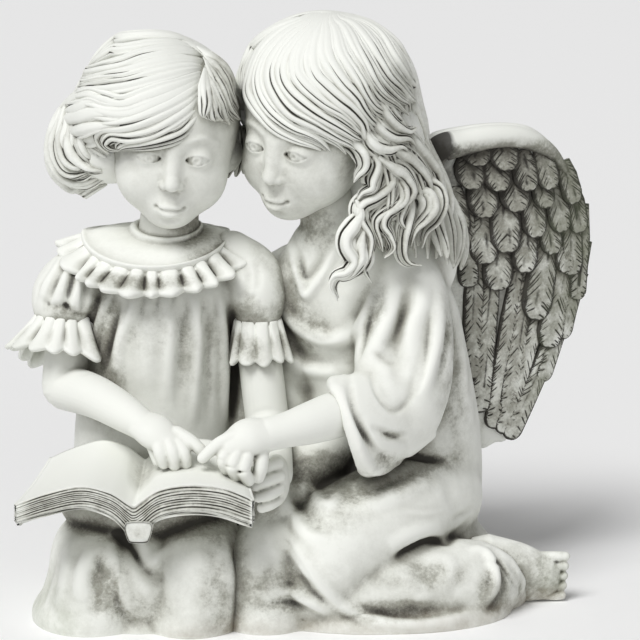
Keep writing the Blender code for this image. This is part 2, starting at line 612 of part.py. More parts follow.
def angel_sleeve_mouth(clay):
    """The turned-out mouth of the sleeve, hollow round the forearm."""
    outer = [
        (86, -30, 142, 24, 20), (72, -40, 138, 31, 26), (58, -52, 134, 34, 26), (42, -64, 134, 37, 25),
    ]
    inner = [(42.5, -63, 134, 30, 18.5), (50, -58, 134, 27, 16), (60, -50, 134, 20, 12)]
    reach = unit_rows(np.array([[-0.86, -0.48, 0.02]]))[0]
    upward = unit_rows(np.array([[-0.40, 0.12, 0.91]]))[0]
    side = np.cross(reach, upward)
    turn = np.linspace(0, 2 * math.pi, 36, endpoint=False)[:, None]
    rings = []
    for x, y, z, tall, wide in smooth_path(outer, 9).tolist() + smooth_path(inner, 6).tolist():
        rings.append(np.array([x, y, z]) + side * np.cos(turn) * wide + upward * np.sin(turn) * tall)
    clay.add(skin(rings))


def angel_arm(clay):
    clay.add(limb([
        (70, -50, 138, 18), (40, -70, 139, 17.5), (12, -86, 137, 14.5), (-8, -95, 134, 11.5),
        (-20, -99, 132, 11),
    ]))
    clay.add(limb([
        (-20, -100, 132, 11.5), (-32, -104, 131, 13), (-42, -107, 127, 10),
    ], flat=0.8, up=(0, -0.7, 0.7)))
    fingers(clay, [
        [(-40, -108, 133, 5.2), (-51, -110, 128, 4.8), (-61, -110, 119, 4.0)],
        [(-44, -110, 126, 4.8), (-48, -112, 119, 4.8), (-46, -110, 112, 4.4)],
        [(-39, -112, 123, 5.0), (-42, -114, 115, 5.0), (-40, -111, 108, 4.6)],
        [(-33, -112, 120, 5.2), (-35, -114, 112, 5.2), (-32, -111, 105, 4.8)],
        [(-24, -104, 124, 5.8), (-24, -108, 114, 5.4), (-26, -107, 106, 4.8)],
    ])


# Wings

LEFT_WING = {"root": (84, 34), "run": (0.90, 0.42), "reach": 1.0}
RIGHT_WING = {"root": (34, 40), "run": (0.10, 0.995), "reach": 0.86}


def wing_point(wing, across, height, out=0.0):
    """A point of a wing: across from its root, height above ground, and out from its feathered face."""
    (x, y), (dx, dy) = wing["root"], wing["run"]
    across = across * wing["reach"]
    bow = 9 * math.sin(min(max(across / 120, 0), 1) * math.pi)
    return np.array([x + dx * across + dy * (out + bow), y + dy * across - dx * (out + bow), height])


WING_EDGE = [
    (3, 298), (6, 306), (12, 311), (39, 315), (64, 315), (81, 311), (99, 298), (114, 276), (121, 262),
    (125, 243),
    (127, 218), (124, 193), (113, 174), (100, 154), (89, 133), (66, 97), (54, 93), (42, 91), (38, 117),
    (33, 146),
    (22, 187), (14, 233), (10, 268), (8, 286),
]
# Each feather: tip across and height, lean of its root, length, width and how far its tip stands off
FLIGHT_FEATHERS = [
    (33, 140, 2, 68, 15, 1.5), (39, 116, 8, 84, 15, 1.8), (49, 104, 13, 76, 15, 2.1),
    (59, 116, 12, 60, 15, 2.4),
    (55, 100, 28, 74, 15, 2.7), (60, 96, 42, 66, 17, 3.0), (88, 134, 22, 48, 16, 2.2),
    (106, 162, 14, 44, 17, 2.4),
    (119, 188, 4, 44, 16, 2.6),
]
LONG_COVERTS = [
    (93, 157, 14, 54, 25, 3.4), (81, 178, 11, 50, 27, 3.8), (114, 206, 0, 44, 20, 3.6),
    (30, 204, -2, 40, 15, 3.2),
]
COVERTS = [
    (51, 201, 2, 34, 24, 4.0), (109, 209, -3, 36, 20, 4.2),
    (41, 220, -1, 34, 23, 4.4), (72, 212, 2, 36, 22, 4.6), (96, 223, -4, 34, 20, 4.8),
    (120, 236, -5, 34, 18, 4.4),
    (23, 240, -3, 34, 17, 4.6), (57, 227, 0, 40, 25, 5.4), (81, 236, -3, 34, 21, 5.4),
    (104, 238, -6, 34, 21, 5.4),
    (40, 252, -1, 30, 23, 6.0), (65, 255, -3, 30, 25, 6.4), (89, 256, -5, 28, 19, 6.4),
    (115, 257, -8, 30, 18, 5.6),
    (30, 272, 0, 24, 22, 7.0), (50, 270, -1, 26, 22, 7.4), (73, 269, -3, 28, 21, 7.4),
    (92, 269, -6, 28, 20, 7.6),
    (34, 288, 0, 18, 24, 8.0), (55, 284, -1, 22, 24, 8.4),
]


def wing_plate(clay, wing):
    thick = WING_THICKNESS / UNIT
    edge = smooth_path([*WING_EDGE, WING_EDGE[0]], 73)[:-1]
    middle = edge.mean(0)
    rings = []
    layers = [(0, 0.05), (0, 0.6), (0, 0.97), (0.25, 1.0), (0.75, 1.0), (1, 0.97), (1, 0.6), (1, 0.05)]
    for side, grow in layers:
        flat = middle + (edge - middle) * grow
        rings.append([wing_point(wing, a, z, -thick * side) for a, z in flat])
    clay.add(skin(rings))


def feather(clay, wing, row, back=False):
    """A flat blade with a raised shaft and a rounded tip that stands off the wing."""
    across, height, lean, length, width, lift = row
    sign, base = (-1, -WING_THICKNESS / UNIT) if back else (1, 0.0)
    thick = FEATHER_THICKNESS / UNIT
    tip, root = np.array([across, height]), np.array([across + lean, height + length])
    run = (tip - root) / np.linalg.norm(tip - root)
    over = np.array([-run[1], run[0]])
    blade = [0.60, 0.84, 0.98, 1.0, 1.0, 0.96, 0.84, 0.62, 0.25]
    spots = [0, 0.15, 0.35, 0.55, 0.72, 0.84, 0.92, 0.97, 1.0]
    rings = []
    for share, full in zip(spots, blade):
        ring = []
        for turn in np.linspace(0, 2 * math.pi, 16, endpoint=False):
            reach, rise = math.cos(turn), math.sin(turn)
            shaft = 0.5 * max(0, 1 - abs(reach) * 4) if rise > 0 else 0
            a, z = root + (tip - root) * share + over * reach * width / 2 * full
            stand = lift * share**1.5 + thick * rise * (1 + shaft)
            ring.append(wing_point(wing, a, z, base + sign * stand))
        rings.append(ring)
    clay.add(skin(rings))


def wing_rim(clay, wing):
    """The rolled leading edge, thickest where it curls forward at the top."""
    route = [
        (6, 290, 2, 6.5), (9, 300, 6, 9.5), (25, 304, 6, 9.0), (45, 307, 5, 8.0), (65, 306, 4, 7.5),
        (82, 301, 3, 6.5), (98, 291, 2, 5.0), (112, 273, 1, 3.5), (121, 255, 0, 3.0),
    ]
    clay.add(limb([(*wing_point(wing, a, z, out - 2), r) for a, z, out, r in route]))
    arm = [(5, 276, -4, 9), (0, 240, -6, 13), (-8, 200, -8, 17)]
    clay.add(limb([(*wing_point(wing, a, z, out), r) for a, z, out, r in arm]))


def build_wing(clay, wing):
    wing_plate(clay, wing)
    for row in FLIGHT_FEATHERS + LONG_COVERTS + COVERTS:
        feather(clay, wing, row)
        feather(clay, wing, row, back=True)
    wing_rim(clay, wing)


# Carving strokes, drawn over the fused skin

def stroke(obj, route, width, height, toward=(0, 1, 0)):
    """Raises or sinks the skin along a route seen along the arrow called toward."""
    tree = BVHTree.FromObject(obj, bpy.context.evaluated_depsgraph_get())
    look = Vector(toward)
    spots = []
    for x, z in smooth_path(route, 6 * len(route)):
        hit = tree.ray_cast(Vector((x * UNIT, 0, z * UNIT)) - look * STATUE_HEIGHT, look)[0]
        if hit is not None:
            spots.append(np.array(hit) / UNIT)
    return np.array(spots), width, height


def carve(obj, strokes):
    """Moves the skin along its normals under every stroke, all measured on the skin as it was."""
    mesh = obj.data
    points = np.empty(len(mesh.vertices) * 3, np.float32)
    mesh.vertices.foreach_get("co", points)
    points = points.reshape(-1, 3).astype(float) / UNIT
    normals = np.array([v.vector for v in mesh.vertex_normals])
    moved = np.zeros(len(points))
    for spots, width, height in strokes:
        if len(spots) < 2:
            continue
        inside = np.all((points > spots.min(0) - width) & (points < spots.max(0) + width), axis=1)
        near = points[inside]
        best = np.full(len(near), 1e9)
        where = np.zeros(len(near))
        for i in range(len(spots) - 1):
            line = spots[i + 1] - spots[i]
            share = np.clip((near - spots[i]) @ line / max(line @ line, 1e-9), 0, 1)
            gap = np.linalg.norm(near - spots[i] - share[:, None] * line, axis=1)
            closer = gap < best
            best[closer] = gap[closer]
            where[closer] = (i + share[closer]) / (len(spots) - 1)
        fade = np.clip(4 * np.minimum(where, 1 - where) + 0.15, 0, 1)
        moved[inside] += height * fade * np.clip(1 - (best / width) ** 2, 0, 1) ** 2
    points = (points + normals * moved[:, None]) * UNIT
    mesh.vertices.foreach_set("co", points.astype(np.float32).ravel())
    mesh.update()


FRONT_STROKES = [
    # pleats of the girl's dress: route, width, height
    ([(-118, 206), (-126, 170), (-132, 140)], 6, 3.2),
    ([(-104, 206), (-112, 170), (-120, 135)], 6, 3.4),
    ([(-92, 204), (-97, 165), (-102, 125)], 6, 3.2),
    ([(-79, 204), (-77, 165), (-76, 118)], 5.5, 3.6),
    ([(-66, 205), (-62, 165), (-61, 120)], 5.5, 3.8),
    ([(-52, 208), (-48, 165), (-46, 122)], 5.5, 3.6),
    ([(-111, 200), (-119, 160), (-126, 135)], 4, -2.5),
    ([(-72, 202), (-69, 160), (-68, 118)], 4, -3.0),
    ([(-58, 202), (-55, 160), (-53, 120)], 4, -3.0),
    ([(-86, 200), (-87, 160), (-89, 122)], 4, -2.4),
    # cloth over the girl's knees
    ([(-122, 66), (-110, 44), (-94, 24)], 8, -5.0),
    ([(-144, 58), (-140, 34), (-130, 8)], 6, -3.4),
    ([(-132, 58), (-128, 32), (-112, 6)], 6, 3.4),
    ([(-112, 60), (-100, 40), (-92, 30)], 6, 3.0),
    ([(-40, 66), (-38, 36), (-35, -2)], 6, -5.0),
    # hem of the robe and folds over the winged girl's legs
    ([(-10, 74), (4, 44), (22, 20), (50, 2)], 5, 3.6),
    ([(-16, 70), (-4, 40), (14, 16), (40, -2)], 5, -4.0),
    ([(58, 42), (72, 49), (90, 49), (112, 62)], 7, -7.0),
    ([(44, 34), (60, 30), (80, 34), (92, 30)], 8, 3.0),
    ([(66, 114), (84, 117), (102, 119)], 5, -6.0),
    ([(38, 100), (60, 92), (88, 100)], 7, 4.0),
    ([(20, 96), (36, 84), (44, 70)], 6, -4.0),
    ([(6, 88), (20, 70), (24, 54)], 6, -3.0),
    ([(118, 52), (130, 34), (126, 14), (108, 0)], 6, 4.4),
    ([(96, 34), (106, 22), (98, 6)], 6, 3.0),
    ([(140, 50), (146, 30), (148, 8)], 4, 3.0),
    # gathers of the puffed sleeves
    ([(-170, 214), (-166, 200), (-160, 190)], 4, -2.4),
    ([(-158, 224), (-157, 206), (-156, 190)], 4.5, -2.8),
    ([(-146, 226), (-148, 208), (-151, 190)], 4.5, -2.4),
    ([(-134, 222), (-140, 204), (-147, 190)], 5, -2.8),
    ([(-36, 226), (-34, 208), (-33, 194)], 4, -2.4),
    ([(-24, 226), (-24, 208), (-26, 194)], 4, -2.4),
    # neckline, cowl and sleeve of the robe
    ([(-13, 257), (-7, 239), (-2, 223), (3, 212), (12, 220), (23, 235), (30, 246)], 3.6, 3.4),
    ([(-8, 252), (0, 232), (4, 222), (12, 230), (22, 244)], 4.5, -3.2),
    ([(-16, 214), (-10, 192), (4, 181), (19, 177), (33, 187), (41, 208)], 6, 4.4),
    ([(-18, 196), (0, 174), (20, 166), (35, 175), (44, 196), (56, 229)], 6, -4.6),
    ([(-18, 180), (0, 160), (22, 156), (36, 166)], 6, 3.4),
    ([(56, 228), (47, 196), (36, 166)], 5, -4.6),
    ([(66, 226), (60, 200), (48, 180)], 6, 3.6),
    ([(38, 178), (50, 177), (62, 168)], 4, -5.6),
    ([(42, 168), (48, 150), (60, 141), (72, 150)], 4.5, -4.6),
    ([(80, 206), (84, 180), (78, 150)], 4.5, -3.8),
    ([(90, 210), (94, 180), (88, 146)], 5, 3.4),
    ([(46, 136), (59, 128), (72, 117)], 5, -5.0),
    ([(52, 146), (66, 138), (76, 126)], 5, 3.0),
    ([(72, 214), (74, 192), (66, 172)], 6, 3.0),
]
BACK_STROKES = [([(x, 200), (x - 3, 150), (x - 6, 90)], 6, 2.6) for x in range(-136, -40, 15)]
BACK_STROKES += [([(x, 170), (x + 3, 120), (x + 8, 50)], 7, 3.0) for x in range(14, 116, 18)]


# Fusing

def apply_modifier(obj, name):
    with bpy.context.temp_override(object=obj, active_object=obj):
        bpy.ops.object.modifier_apply(modifier=name)


def fuse(obj, grain, smoothing):
    """One skin over every lump, softened as a mould softens it."""
    remesh = obj.modifiers.new("one skin", "REMESH")
    remesh.mode = "VOXEL"
    remesh.voxel_size = grain
    apply_modifier(obj, "one skin")
    soften = obj.modifiers.new("soften", "SMOOTH")
    soften.factor = 0.5
    soften.iterations = smoothing
    apply_modifier(obj, "soften")


def keep_largest_body(bm):
    """Drops crumbs that the fusing leaves inside closed hollows."""
    unseen = set(bm.verts)
    bodies = []
    while unseen:
        front = [unseen.pop()]
        body = set(front)
        while front:
            for edge in front.pop().link_edges:
                for vert in edge.verts:
                    if vert in unseen:
                        unseen.discard(vert)
                        body.add(vert)
                        front.append(vert)
        bodies.append(body)
    bodies.sort(key=len)
    crumbs = [vert for body in bodies[:-1] for vert in body]
    bmesh.ops.delete(bm, geom=crumbs, context="VERTS")


def cut_flat_on_ground(obj):
    bm = bmesh.new()
    bm.from_mesh(obj.data)
    keep_largest_body(bm)
    whole = bm.verts[:] + bm.edges[:] + bm.faces[:]
    bmesh.ops.bisect_plane(bm, geom=whole, plane_co=(0, 0, 0), plane_no=(0, 0, 1), clear_inner=True)
    rim = [edge for edge in bm.edges if edge.is_boundary]
    bmesh.ops.holes_fill(bm, edges=rim, sides=0)
    bmesh.ops.triangulate(bm, faces=bm.faces[:])
    bm.to_mesh(obj.data)
    bm.free()


def stone():
    material = bpy.data.materials.new("cast_stone")
    material.use_nodes = True
    shader = material.node_tree.nodes["Principled BSDF"]
    shader.inputs["Base Color"].default_value = STONE
    shader.inputs["Roughness"].default_value = 0.85
    shader.inputs["Metallic"].default_value = 0.0
    return material


def main():
    for obj in list(bpy.data.objects):
        bpy.data.objects.remove(obj)
    cloth = Clay()
    girl_body(cloth)
    angel_body(cloth)
    angel_sleeve_mouth(cloth)
    clay = Clay()
    puff_sleeves(cloth, clay)
    drape = cloth.to_object("drape")
    fuse(drape, CLOTH_GRAIN, 9)
    drawn = [stroke(drape, *row) for row in FRONT_STROKES]
    drawn += [stroke(drape, *row, toward=(0, -1, 0)) for row in BACK_STROKES]
    carve(drape, drawn)
    clay.add_object(drape)
    girl_dress(clay)
    girl_arms(clay)
    book(clay)
    angel_foot(clay)
    angel_arm(clay)
    build_wing(clay, LEFT_WING)
    build_wing(clay, RIGHT_WING)
    clay.add(head_lump(GIRL_HEAD, 6))
    clay.add(head_lump(ANGEL_HEAD, 6))
    girl_hair(clay)
    angel_hair(clay)
    statue = clay.to_object("statue")
    fuse(statue, CLAY_GRAIN, 1)
    thin = statue.modifiers.new("fewer facets", "DECIMATE")
    thin.ratio = FACET_BUDGET / (2 * len(statue.data.polygons))
    apply_modifier(statue, "fewer facets")
    cut_flat_on_ground(statue)
    statue.data.materials.append(stone())


main()
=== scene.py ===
"""Dress of the reading children garden statue: its fine carving and its weathered stone.

Places are in units of the casting: 400 units from the ground to the highest hair, a millimetre each.
The girls face -Y. Carved forms grow from overlapping lumps, swept locks and lofted rings.
"""

import math

import bpy
import numpy as np
from mathutils import Euler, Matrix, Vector
from mathutils.bvhtree import BVHTree


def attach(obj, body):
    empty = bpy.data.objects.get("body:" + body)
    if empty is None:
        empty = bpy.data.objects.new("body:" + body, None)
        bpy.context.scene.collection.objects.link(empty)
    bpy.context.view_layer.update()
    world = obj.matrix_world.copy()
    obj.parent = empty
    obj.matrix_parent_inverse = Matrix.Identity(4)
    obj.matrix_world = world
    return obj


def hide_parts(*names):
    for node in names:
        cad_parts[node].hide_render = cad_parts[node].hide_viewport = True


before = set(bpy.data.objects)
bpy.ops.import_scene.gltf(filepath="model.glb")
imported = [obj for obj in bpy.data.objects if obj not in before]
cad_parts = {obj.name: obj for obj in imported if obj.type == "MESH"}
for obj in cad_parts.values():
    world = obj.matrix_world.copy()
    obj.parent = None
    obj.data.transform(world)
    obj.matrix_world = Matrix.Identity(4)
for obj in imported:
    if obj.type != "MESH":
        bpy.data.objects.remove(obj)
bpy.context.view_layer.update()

UNIT = 0.001
# Grain of the fused skins, in metres
DRESS_GRAIN = 0.00143
ROBE_GRAIN = 0.0015
LIMB_GRAIN = 0.0008

# Heads: middle of the skull at eye level, then yaw, tilt and nod in degrees, and size
GIRL_HEAD = ((-83, -13, 312), (4, 4, 12), 0.99)
ANGEL_HEAD = ((8, -12, 320), (-34, 8, 17), 1.03)
# Hair domes: middle and half sizes
GIRL_HAIR = ((-95, -3, 330), (50, 57, 51))
ANGEL_HAIR = ((17, -3, 337), (57, 60, 57))
GIRL_SIDE_HAIR = ((-86, 0, 326), (51, 56, 52))
GIRL_TEMPLE = ((-84, -7, 326), (49.5, 59, 53))


class Clay:
    """Lumps gathered in units. A lump is points and faces."""

    def __init__(self):
        self.points = []
        self.faces = []
        self.count = 0

    def add(self, lump):
        points, faces = lump
        self.points.append(points)
        self.faces += [tuple(i + self.count for i in face) for face in faces]
        self.count += len(points)

    def to_object(self, name):
        mesh = bpy.data.meshes.new(name)
        mesh.from_pydata((np.vstack(self.points) * UNIT).tolist(), [], self.faces)
        obj = bpy.data.objects.new(name, mesh)
        bpy.context.scene.collection.objects.link(obj)
        return obj


# Curves and skins

def smooth_path(points, steps):
    """A Catmull-Rom curve through rows of numbers, so radii ride along with positions."""
    rows = np.array(points, float)
    padded = np.vstack([2 * rows[0] - rows[1], rows, 2 * rows[-1] - rows[-2]])
    spots = np.linspace(0, len(rows) - 1, steps)
    first = np.minimum(spots.astype(int), len(rows) - 2)
    u = (spots - first)[:, None]
    a, b, c, d = (padded[first + i] for i in range(4))
    curve = 2 * b + (c - a) * u + (2 * a - 5 * b + 4 * c - d) * u**2
    return 0.5 * (curve + (3 * b - a - 3 * c + d) * u**3)


def unit_rows(rows):
    return rows / np.maximum(np.linalg.norm(rows, axis=-1, keepdims=True), 1e-9)


def skin(rings):
    """A closed surface over rings of points. A fan at its middle closes each end, and all faces look out."""
    rings = np.asarray(rings, float)
    count, sides = rings.shape[:2]
    here = np.arange(count * sides).reshape(count, sides)
    beside = np.roll(here, -1, axis=1)
    quads = np.stack([here[:-1], beside[:-1], beside[1:], here[1:]], -1).reshape(-1, 4)
    low, high = np.full(sides, count * sides), np.full(sides, count * sides + 1)
    fans = np.concatenate([
        np.stack([low, beside[0], here[0]], -1), np.stack([high, here[-1], beside[-1]], -1),
    ])
    points = np.vstack([rings.reshape(-1, 3), rings[0].mean(0), rings[-1].mean(0)])
    halves = np.concatenate([quads[:, :3], quads[:, [0, 2, 3]], fans])
    a, b, c = (points[halves[:, i]] - points[-1] for i in range(3))
    if np.sum(np.cross(a, b) * c) < 0:
        quads, fans = quads[:, ::-1], fans[:, ::-1]
    return points, quads.tolist() + fans.tolist()


def ball(middle, radii, turn=(0, 0, 0)):
    """An ellipsoid, turned by degrees about X, Y and Z."""
    down = np.linspace(0.06, math.pi - 0.06, 21)[:, None]
    around = np.linspace(0, 2 * math.pi, 32, endpoint=False)
    rings = np.stack(
        [np.sin(down) * np.cos(around), np.sin(down) * np.sin(around), np.cos(down) + 0 * around], -1
    )
    matrix = np.array(Euler([math.radians(a) for a in turn]).to_matrix())
    return skin((rings * np.array(radii)) @ matrix.T + np.array(middle))


def limb(path, flat=1.0, up=(0, 0, 1), steps=None, sides=28, round_ends=True):
    """A tapering tube along rows of x, y, z and radius. flat thins it along up."""
    steps = steps or 8 * len(path)
    rows = smooth_path(path, steps)
    middles, radii = rows[:, :3], np.maximum(rows[:, 3], 0.4)
    along = unit_rows(np.gradient(middles, axis=0))
    across = unit_rows(np.cross(along, np.array(up, float)))
    normal = np.cross(across, along)
    if round_ends:
        for end, sign in ((0, -1), (-1, 1)):
            turns = [math.radians(a) for a in (25, 50, 78)]
            caps = [middles[end] + sign * along[end] * radii[end] * math.sin(a) for a in turns]
            rims = [radii[end] * math.cos(a) for a in turns]
            if end == 0:
                middles, radii = np.vstack([caps[::-1], middles]), np.concatenate([rims[::-1], radii])
            else:
                middles, radii = np.vstack([middles, caps]), np.concatenate([radii, rims])
            pad = [(3, 0) if end == 0 else (0, 3), (0, 0)]
            along, across, normal = (np.pad(a, pad, mode="edge") for a in (along, across, normal))
    turn = np.linspace(0, 2 * math.pi, sides, endpoint=False)[None, :, None]
    spread = across[:, None] * np.cos(turn) + normal[:, None] * np.sin(turn) * flat
    return skin(middles[:, None] + spread * radii[:, None, None])


def stack(levels, steps=60, sides=72):
    """A trunk from level ellipses: rows of z, x, y, half width, half depth."""
    rows = smooth_path(levels, steps)
    turn = np.linspace(0, 2 * math.pi, sides, endpoint=False)
    x = rows[:, 1:2] + rows[:, 3:4] * np.cos(turn)
    y = rows[:, 2:3] + rows[:, 4:5] * np.sin(turn)
    return skin(np.stack([x, y, rows[:, 0:1] + 0 * x], -1))


# Shaping finished skins

def select_only(obj):
    bpy.ops.object.select_all(action="DESELECT")
    obj.select_set(True)
    bpy.context.view_layer.objects.active = obj


def apply_modifier(obj, name):
    select_only(obj)
    bpy.ops.object.modifier_apply(modifier=name)


def fuse(obj, grain, smoothing):
    """One skin over every lump, softened as a mould softens it."""
    remesh = obj.modifiers.new("one skin", "REMESH")
    remesh.mode = "VOXEL"
    remesh.voxel_size = grain
    apply_modifier(obj, "one skin")
    soften(obj, smoothing)


def cut_flat_on_ground(obj):
    select_only(obj)
    bpy.ops.object.mode_set(mode="EDIT")
    bpy.ops.mesh.select_all(action="SELECT")
    bpy.ops.mesh.bisect(plane_co=(0, 0, 0), plane_no=(0, 0, 1), use_fill=True, clear_inner=True)
    bpy.ops.object.mode_set(mode="OBJECT")


def points_of(obj):
    points = np.empty(len(obj.data.vertices) * 3, np.float32)
    obj.data.vertices.foreach_get("co", points)
    return points.reshape(-1, 3).astype(float) / UNIT


def move_points(obj, points):
    obj.data.vertices.foreach_set("co", (points * UNIT).astype(np.float32).ravel())
    obj.data.update()


def normals_of(obj):
    return np.array([v.vector for v in obj.data.vertex_normals])


def stroke(tree, route, width, height, toward=(0, 1, 0)):
    """A stroke of the carving tool along a route of x and z, seen along the arrow called toward."""
    look = Vector(toward)
    spots = []
    for x, z in smooth_path(route, 7 * len(route)):
        hit = tree.ray_cast(Vector((x * UNIT, 0, z * UNIT)) - look * 0.4, look)[0]
        if hit is not None:
            spots.append(np.array(hit) / UNIT)
    return np.array(spots), width, height


def soften(obj, rounds):
    modifier = obj.modifiers.new("soften", "SMOOTH")
    modifier.factor = 0.5
    modifier.iterations = rounds
    apply_modifier(obj, "soften")


def carve(obj, rows, toward=(0, 1, 0)):
    """Raises or sinks the skin along its normals under every stroke."""
    tree = BVHTree.FromObject(obj, bpy.context.evaluated_depsgraph_get())
    points, normals = points_of(obj), normals_of(obj)
    moved = np.zeros(len(points))
    for row in rows:
        spots, width, height = stroke(tree, *row, toward)
        if len(spots) < 2:
            continue
        inside = np.all((points > spots.min(0) - width) & (points < spots.max(0) + width), axis=1)
        near = points[inside]
        best = np.full(len(near), 1e9)
        where = np.zeros(len(near))
        for i in range(len(spots) - 1):
            line = spots[i + 1] - spots[i]
            share = np.clip((near - spots[i]) @ line / max(line @ line, 1e-9), 0, 1)
            gap = np.linalg.norm(near - spots[i] - share[:, None] * line, axis=1)
            closer = gap < best
            best[closer] = gap[closer]
            where[closer] = (i + share[closer]) / (len(spots) - 1)
        fade = 0.08 + 0.92 * np.sin(where * math.pi) ** 0.7
        moved[inside] += height * fade * np.clip(1 - (best / width) ** 2, 0, 1) ** 2
    move_points(obj, points + normals * moved[:, None])


# Faces

FACE_COLUMNS = 240
FACE_ROWS = 225


def ellipsoid_field(points, middle, radii):
    middle, radii = np.array(middle, float), np.array(radii, float)
    near = np.linalg.norm((points - middle) / radii, axis=1)
    slope = np.linalg.norm((points - middle) / radii**2, axis=1)
    return near * (near - 1) / np.maximum(slope, 1e-6)


def rod_field(points, start, end, start_radius, end_radius):
    start, end = np.array(start, float), np.array(end, float)
    line = end - start
    share = np.clip((points - start) @ line / (line @ line), 0, 1)
    gap = np.linalg.norm(points - start - share[:, None] * line, axis=1)
    return gap - (start_radius + (end_radius - start_radius) * share)


def meld(a, b, soft):
    share = np.clip(0.5 + 0.5 * (b - a) / soft, 0, 1)
    return b * (1 - share) + a * share - soft * share * (1 - share)


def carve_out(a, b, soft):
    return -meld(-a, b, soft)


def bead(points, path, radius, tip_radius):
    """A thin bead along a path, thinner at its two ends."""
    rows = smooth_path(path, 9)
    radii = tip_radius + (radius - tip_radius) * np.sin(np.linspace(0, math.pi, 9))
    pieces = [rod_field(points, rows[i], rows[i + 1], radii[i], radii[i + 1]) for i in range(8)]
    return np.minimum.reduce(pieces)


def add_eye(face, side):
    """Lids round a ball, open in an almond, with a ringed iris that looks down at the page."""
    x, z = side[:, 0] - 15.6, side[:, 2] + 1.0
    eye = np.array([15.6, -34.0, -1.0])
    face = carve_out(face, ellipsoid_field(side, (15.2, -49.5, 0.5), (10.5, 9.0, 7.6)), 6)
    shell = np.linalg.norm((side - eye) / np.array([1.04, 1, 0.92]), axis=1) - 9.6
    face = meld(face, shell, 2.6)
    fold = [(7.6, -42.2, 2.4), (12, -43.4, 6.0), (17.5, -43.4, 6.4), (24.6, -38.8, 1.8)]
    face = carve_out(face, bead(side, fold, 0.8, 0.4), 0.8)
    above = np.hypot(x, z + 7.0) - 10.3
    below = np.hypot(x, z - 8.6) - 12.0
    opening = np.maximum(np.maximum(above, below), side[:, 1] + 33.0)
    face = carve_out(face, opening, 0.5)
    globe = np.linalg.norm(side - eye, axis=1) - 8.75
    from_iris = np.hypot(x + 0.3, z + 0.2)
    globe = globe + 0.55 * np.exp(-((from_iris - 4.0) / 0.55) ** 2)
    globe = globe + 1.1 * np.exp(-((from_iris / 1.5) ** 4))
    return np.minimum(face, globe)


def child_face(points):
    """A calm, round child's face. It looks along -Y, and z is 0 near its eyes."""
    mirrored = points * np.array([-1, 1, 1])
    face = ellipsoid_field(points, (0, 9, 14), (44, 51, 46))
    face = meld(face, ellipsoid_field(points, (0, -9, -17), (35.5, 35, 36)), 16)
    for side in (points, mirrored):
        face = meld(face, ellipsoid_field(side, (18.5, -24.5, -21), (14.5, 15, 14.5)), 13)
    face = meld(face, ellipsoid_field(points, (0, -30.5, -42.5), (13, 11.5, 9.0)), 12)
    face = meld(face, ellipsoid_field(points, (0, -38.0, -34.0), (11.0, 8.0, 8.5)), 8)
    for side in (points, mirrored):
        face = add_eye(face, side)
        brow = [(6.5, -41.4, 10.0), (14, -39.9, 13.0), (21, -36.3, 12.6), (28, -30.4, 9.0)]
        face = meld(face, bead(side, brow, 1.5, 0.5), 3)
    face = meld(face, rod_field(points, (0, -40.0, 4), (0, -46.6, -13), 3.2, 3.8), 6)
    face = meld(face, ellipsoid_field(points, (0, -47.6, -16.8), (5.0, 4.8, 4.5)), 3.2)
    for side in (points, mirrored):
        face = meld(face, ellipsoid_field(side, (5.0, -44.2, -18.2), (3.2, 4.0, 3.1)), 1.8)
        face = carve_out(face, ellipsoid_field(side, (2.7, -47.4, -21.6), (1.6, 2.6, 1.2)), 0.8)
    face = carve_out(face, rod_field(points, (0, -48.6, -24.0), (0, -48.8, -28.6), 1.2, 1.5), 3)
    lower_lip = [(-5.6, -44.6, -36.4), (-2.6, -45.8, -37.7), (2.6, -45.8, -37.7), (5.6, -44.6, -36.4)]
    face = meld(face, bead(points, lower_lip, 2.5, 1.0), 2.4)
    for side in (points, mirrored):
        upper_lip = [(-0.6, -46.6, -32.9), (3.2, -46.3, -32.2), (8.0, -42.9, -33.4)]
        face = meld(face, bead(side, upper_lip, 1.7, 0.6), 2.2)
        face = carve_out(face, ellipsoid_field(side, (9.4, -44.2, -33.2), (1.0, 1.4, 1.0)), 2.2)
    face = carve_out(face, ellipsoid_field(points, (0, -45.2, -42.4), (6.5, 2.6, 1.6)), 4)
    mouth = [
        (-9.0, -43.2, -33.4), (-4.5, -47.0, -34.8), (0, -47.9, -34.5), (4.5, -47.0, -34.8),
        (9.0, -43.2, -33.4),
    ]
    return carve_out(face, bead(points, mouth, 0.8, 0.5), 0.8)


def head_matrix(yaw, tilt, nod):
    turns = [math.radians(a) for a in (yaw, tilt, nod)]
    return (
        Euler((0, 0, turns[0])).to_matrix()
        @ Euler((0, turns[1], 0)).to_matrix()
        @ Euler((turns[2], 0, 0)).to_matrix()
    )


def head(place):
    """The face pulled onto rays that stand closest round its middle, then turned and set in place."""
    origin, (yaw, tilt, nod), size = place
    spread = np.linspace(-1, 1, FACE_COLUMNS + 1)[:-1]
    around = np.radians(180) * (0.42 * spread + 0.58 * spread**3)
    spread = np.linspace(-1, 1, FACE_ROWS)
    up = np.radians(-10 + 22 * spread + np.where(spread < 0, 56, 76) * spread**3)
    up[0], up[-1] = math.radians(-88), math.radians(88)
    rays = np.stack([
        np.cos(up)[:, None] * np.sin(around), -np.cos(up)[:, None] * np.cos(around),
        np.sin(up)[:, None] + 0 * around,
    ], -1).reshape(-1, 3)
    middle = np.array([0, -4.0, -12.0])
    reach = np.full(len(rays), 70.0)
    moving = np.arange(len(rays))
    for _ in range(48):
        gap = child_face(middle + rays[moving] * reach[moving, None])
        reach[moving] -= 0.85 * gap
        moving = moving[np.abs(gap) > 0.004]
    points = (middle + rays * reach[:, None]) * size
    turned = points @ np.array(head_matrix(yaw, tilt, nod)).T + np.array(origin)
    return skin(turned.reshape(len(up), len(around), 3))


# Hair

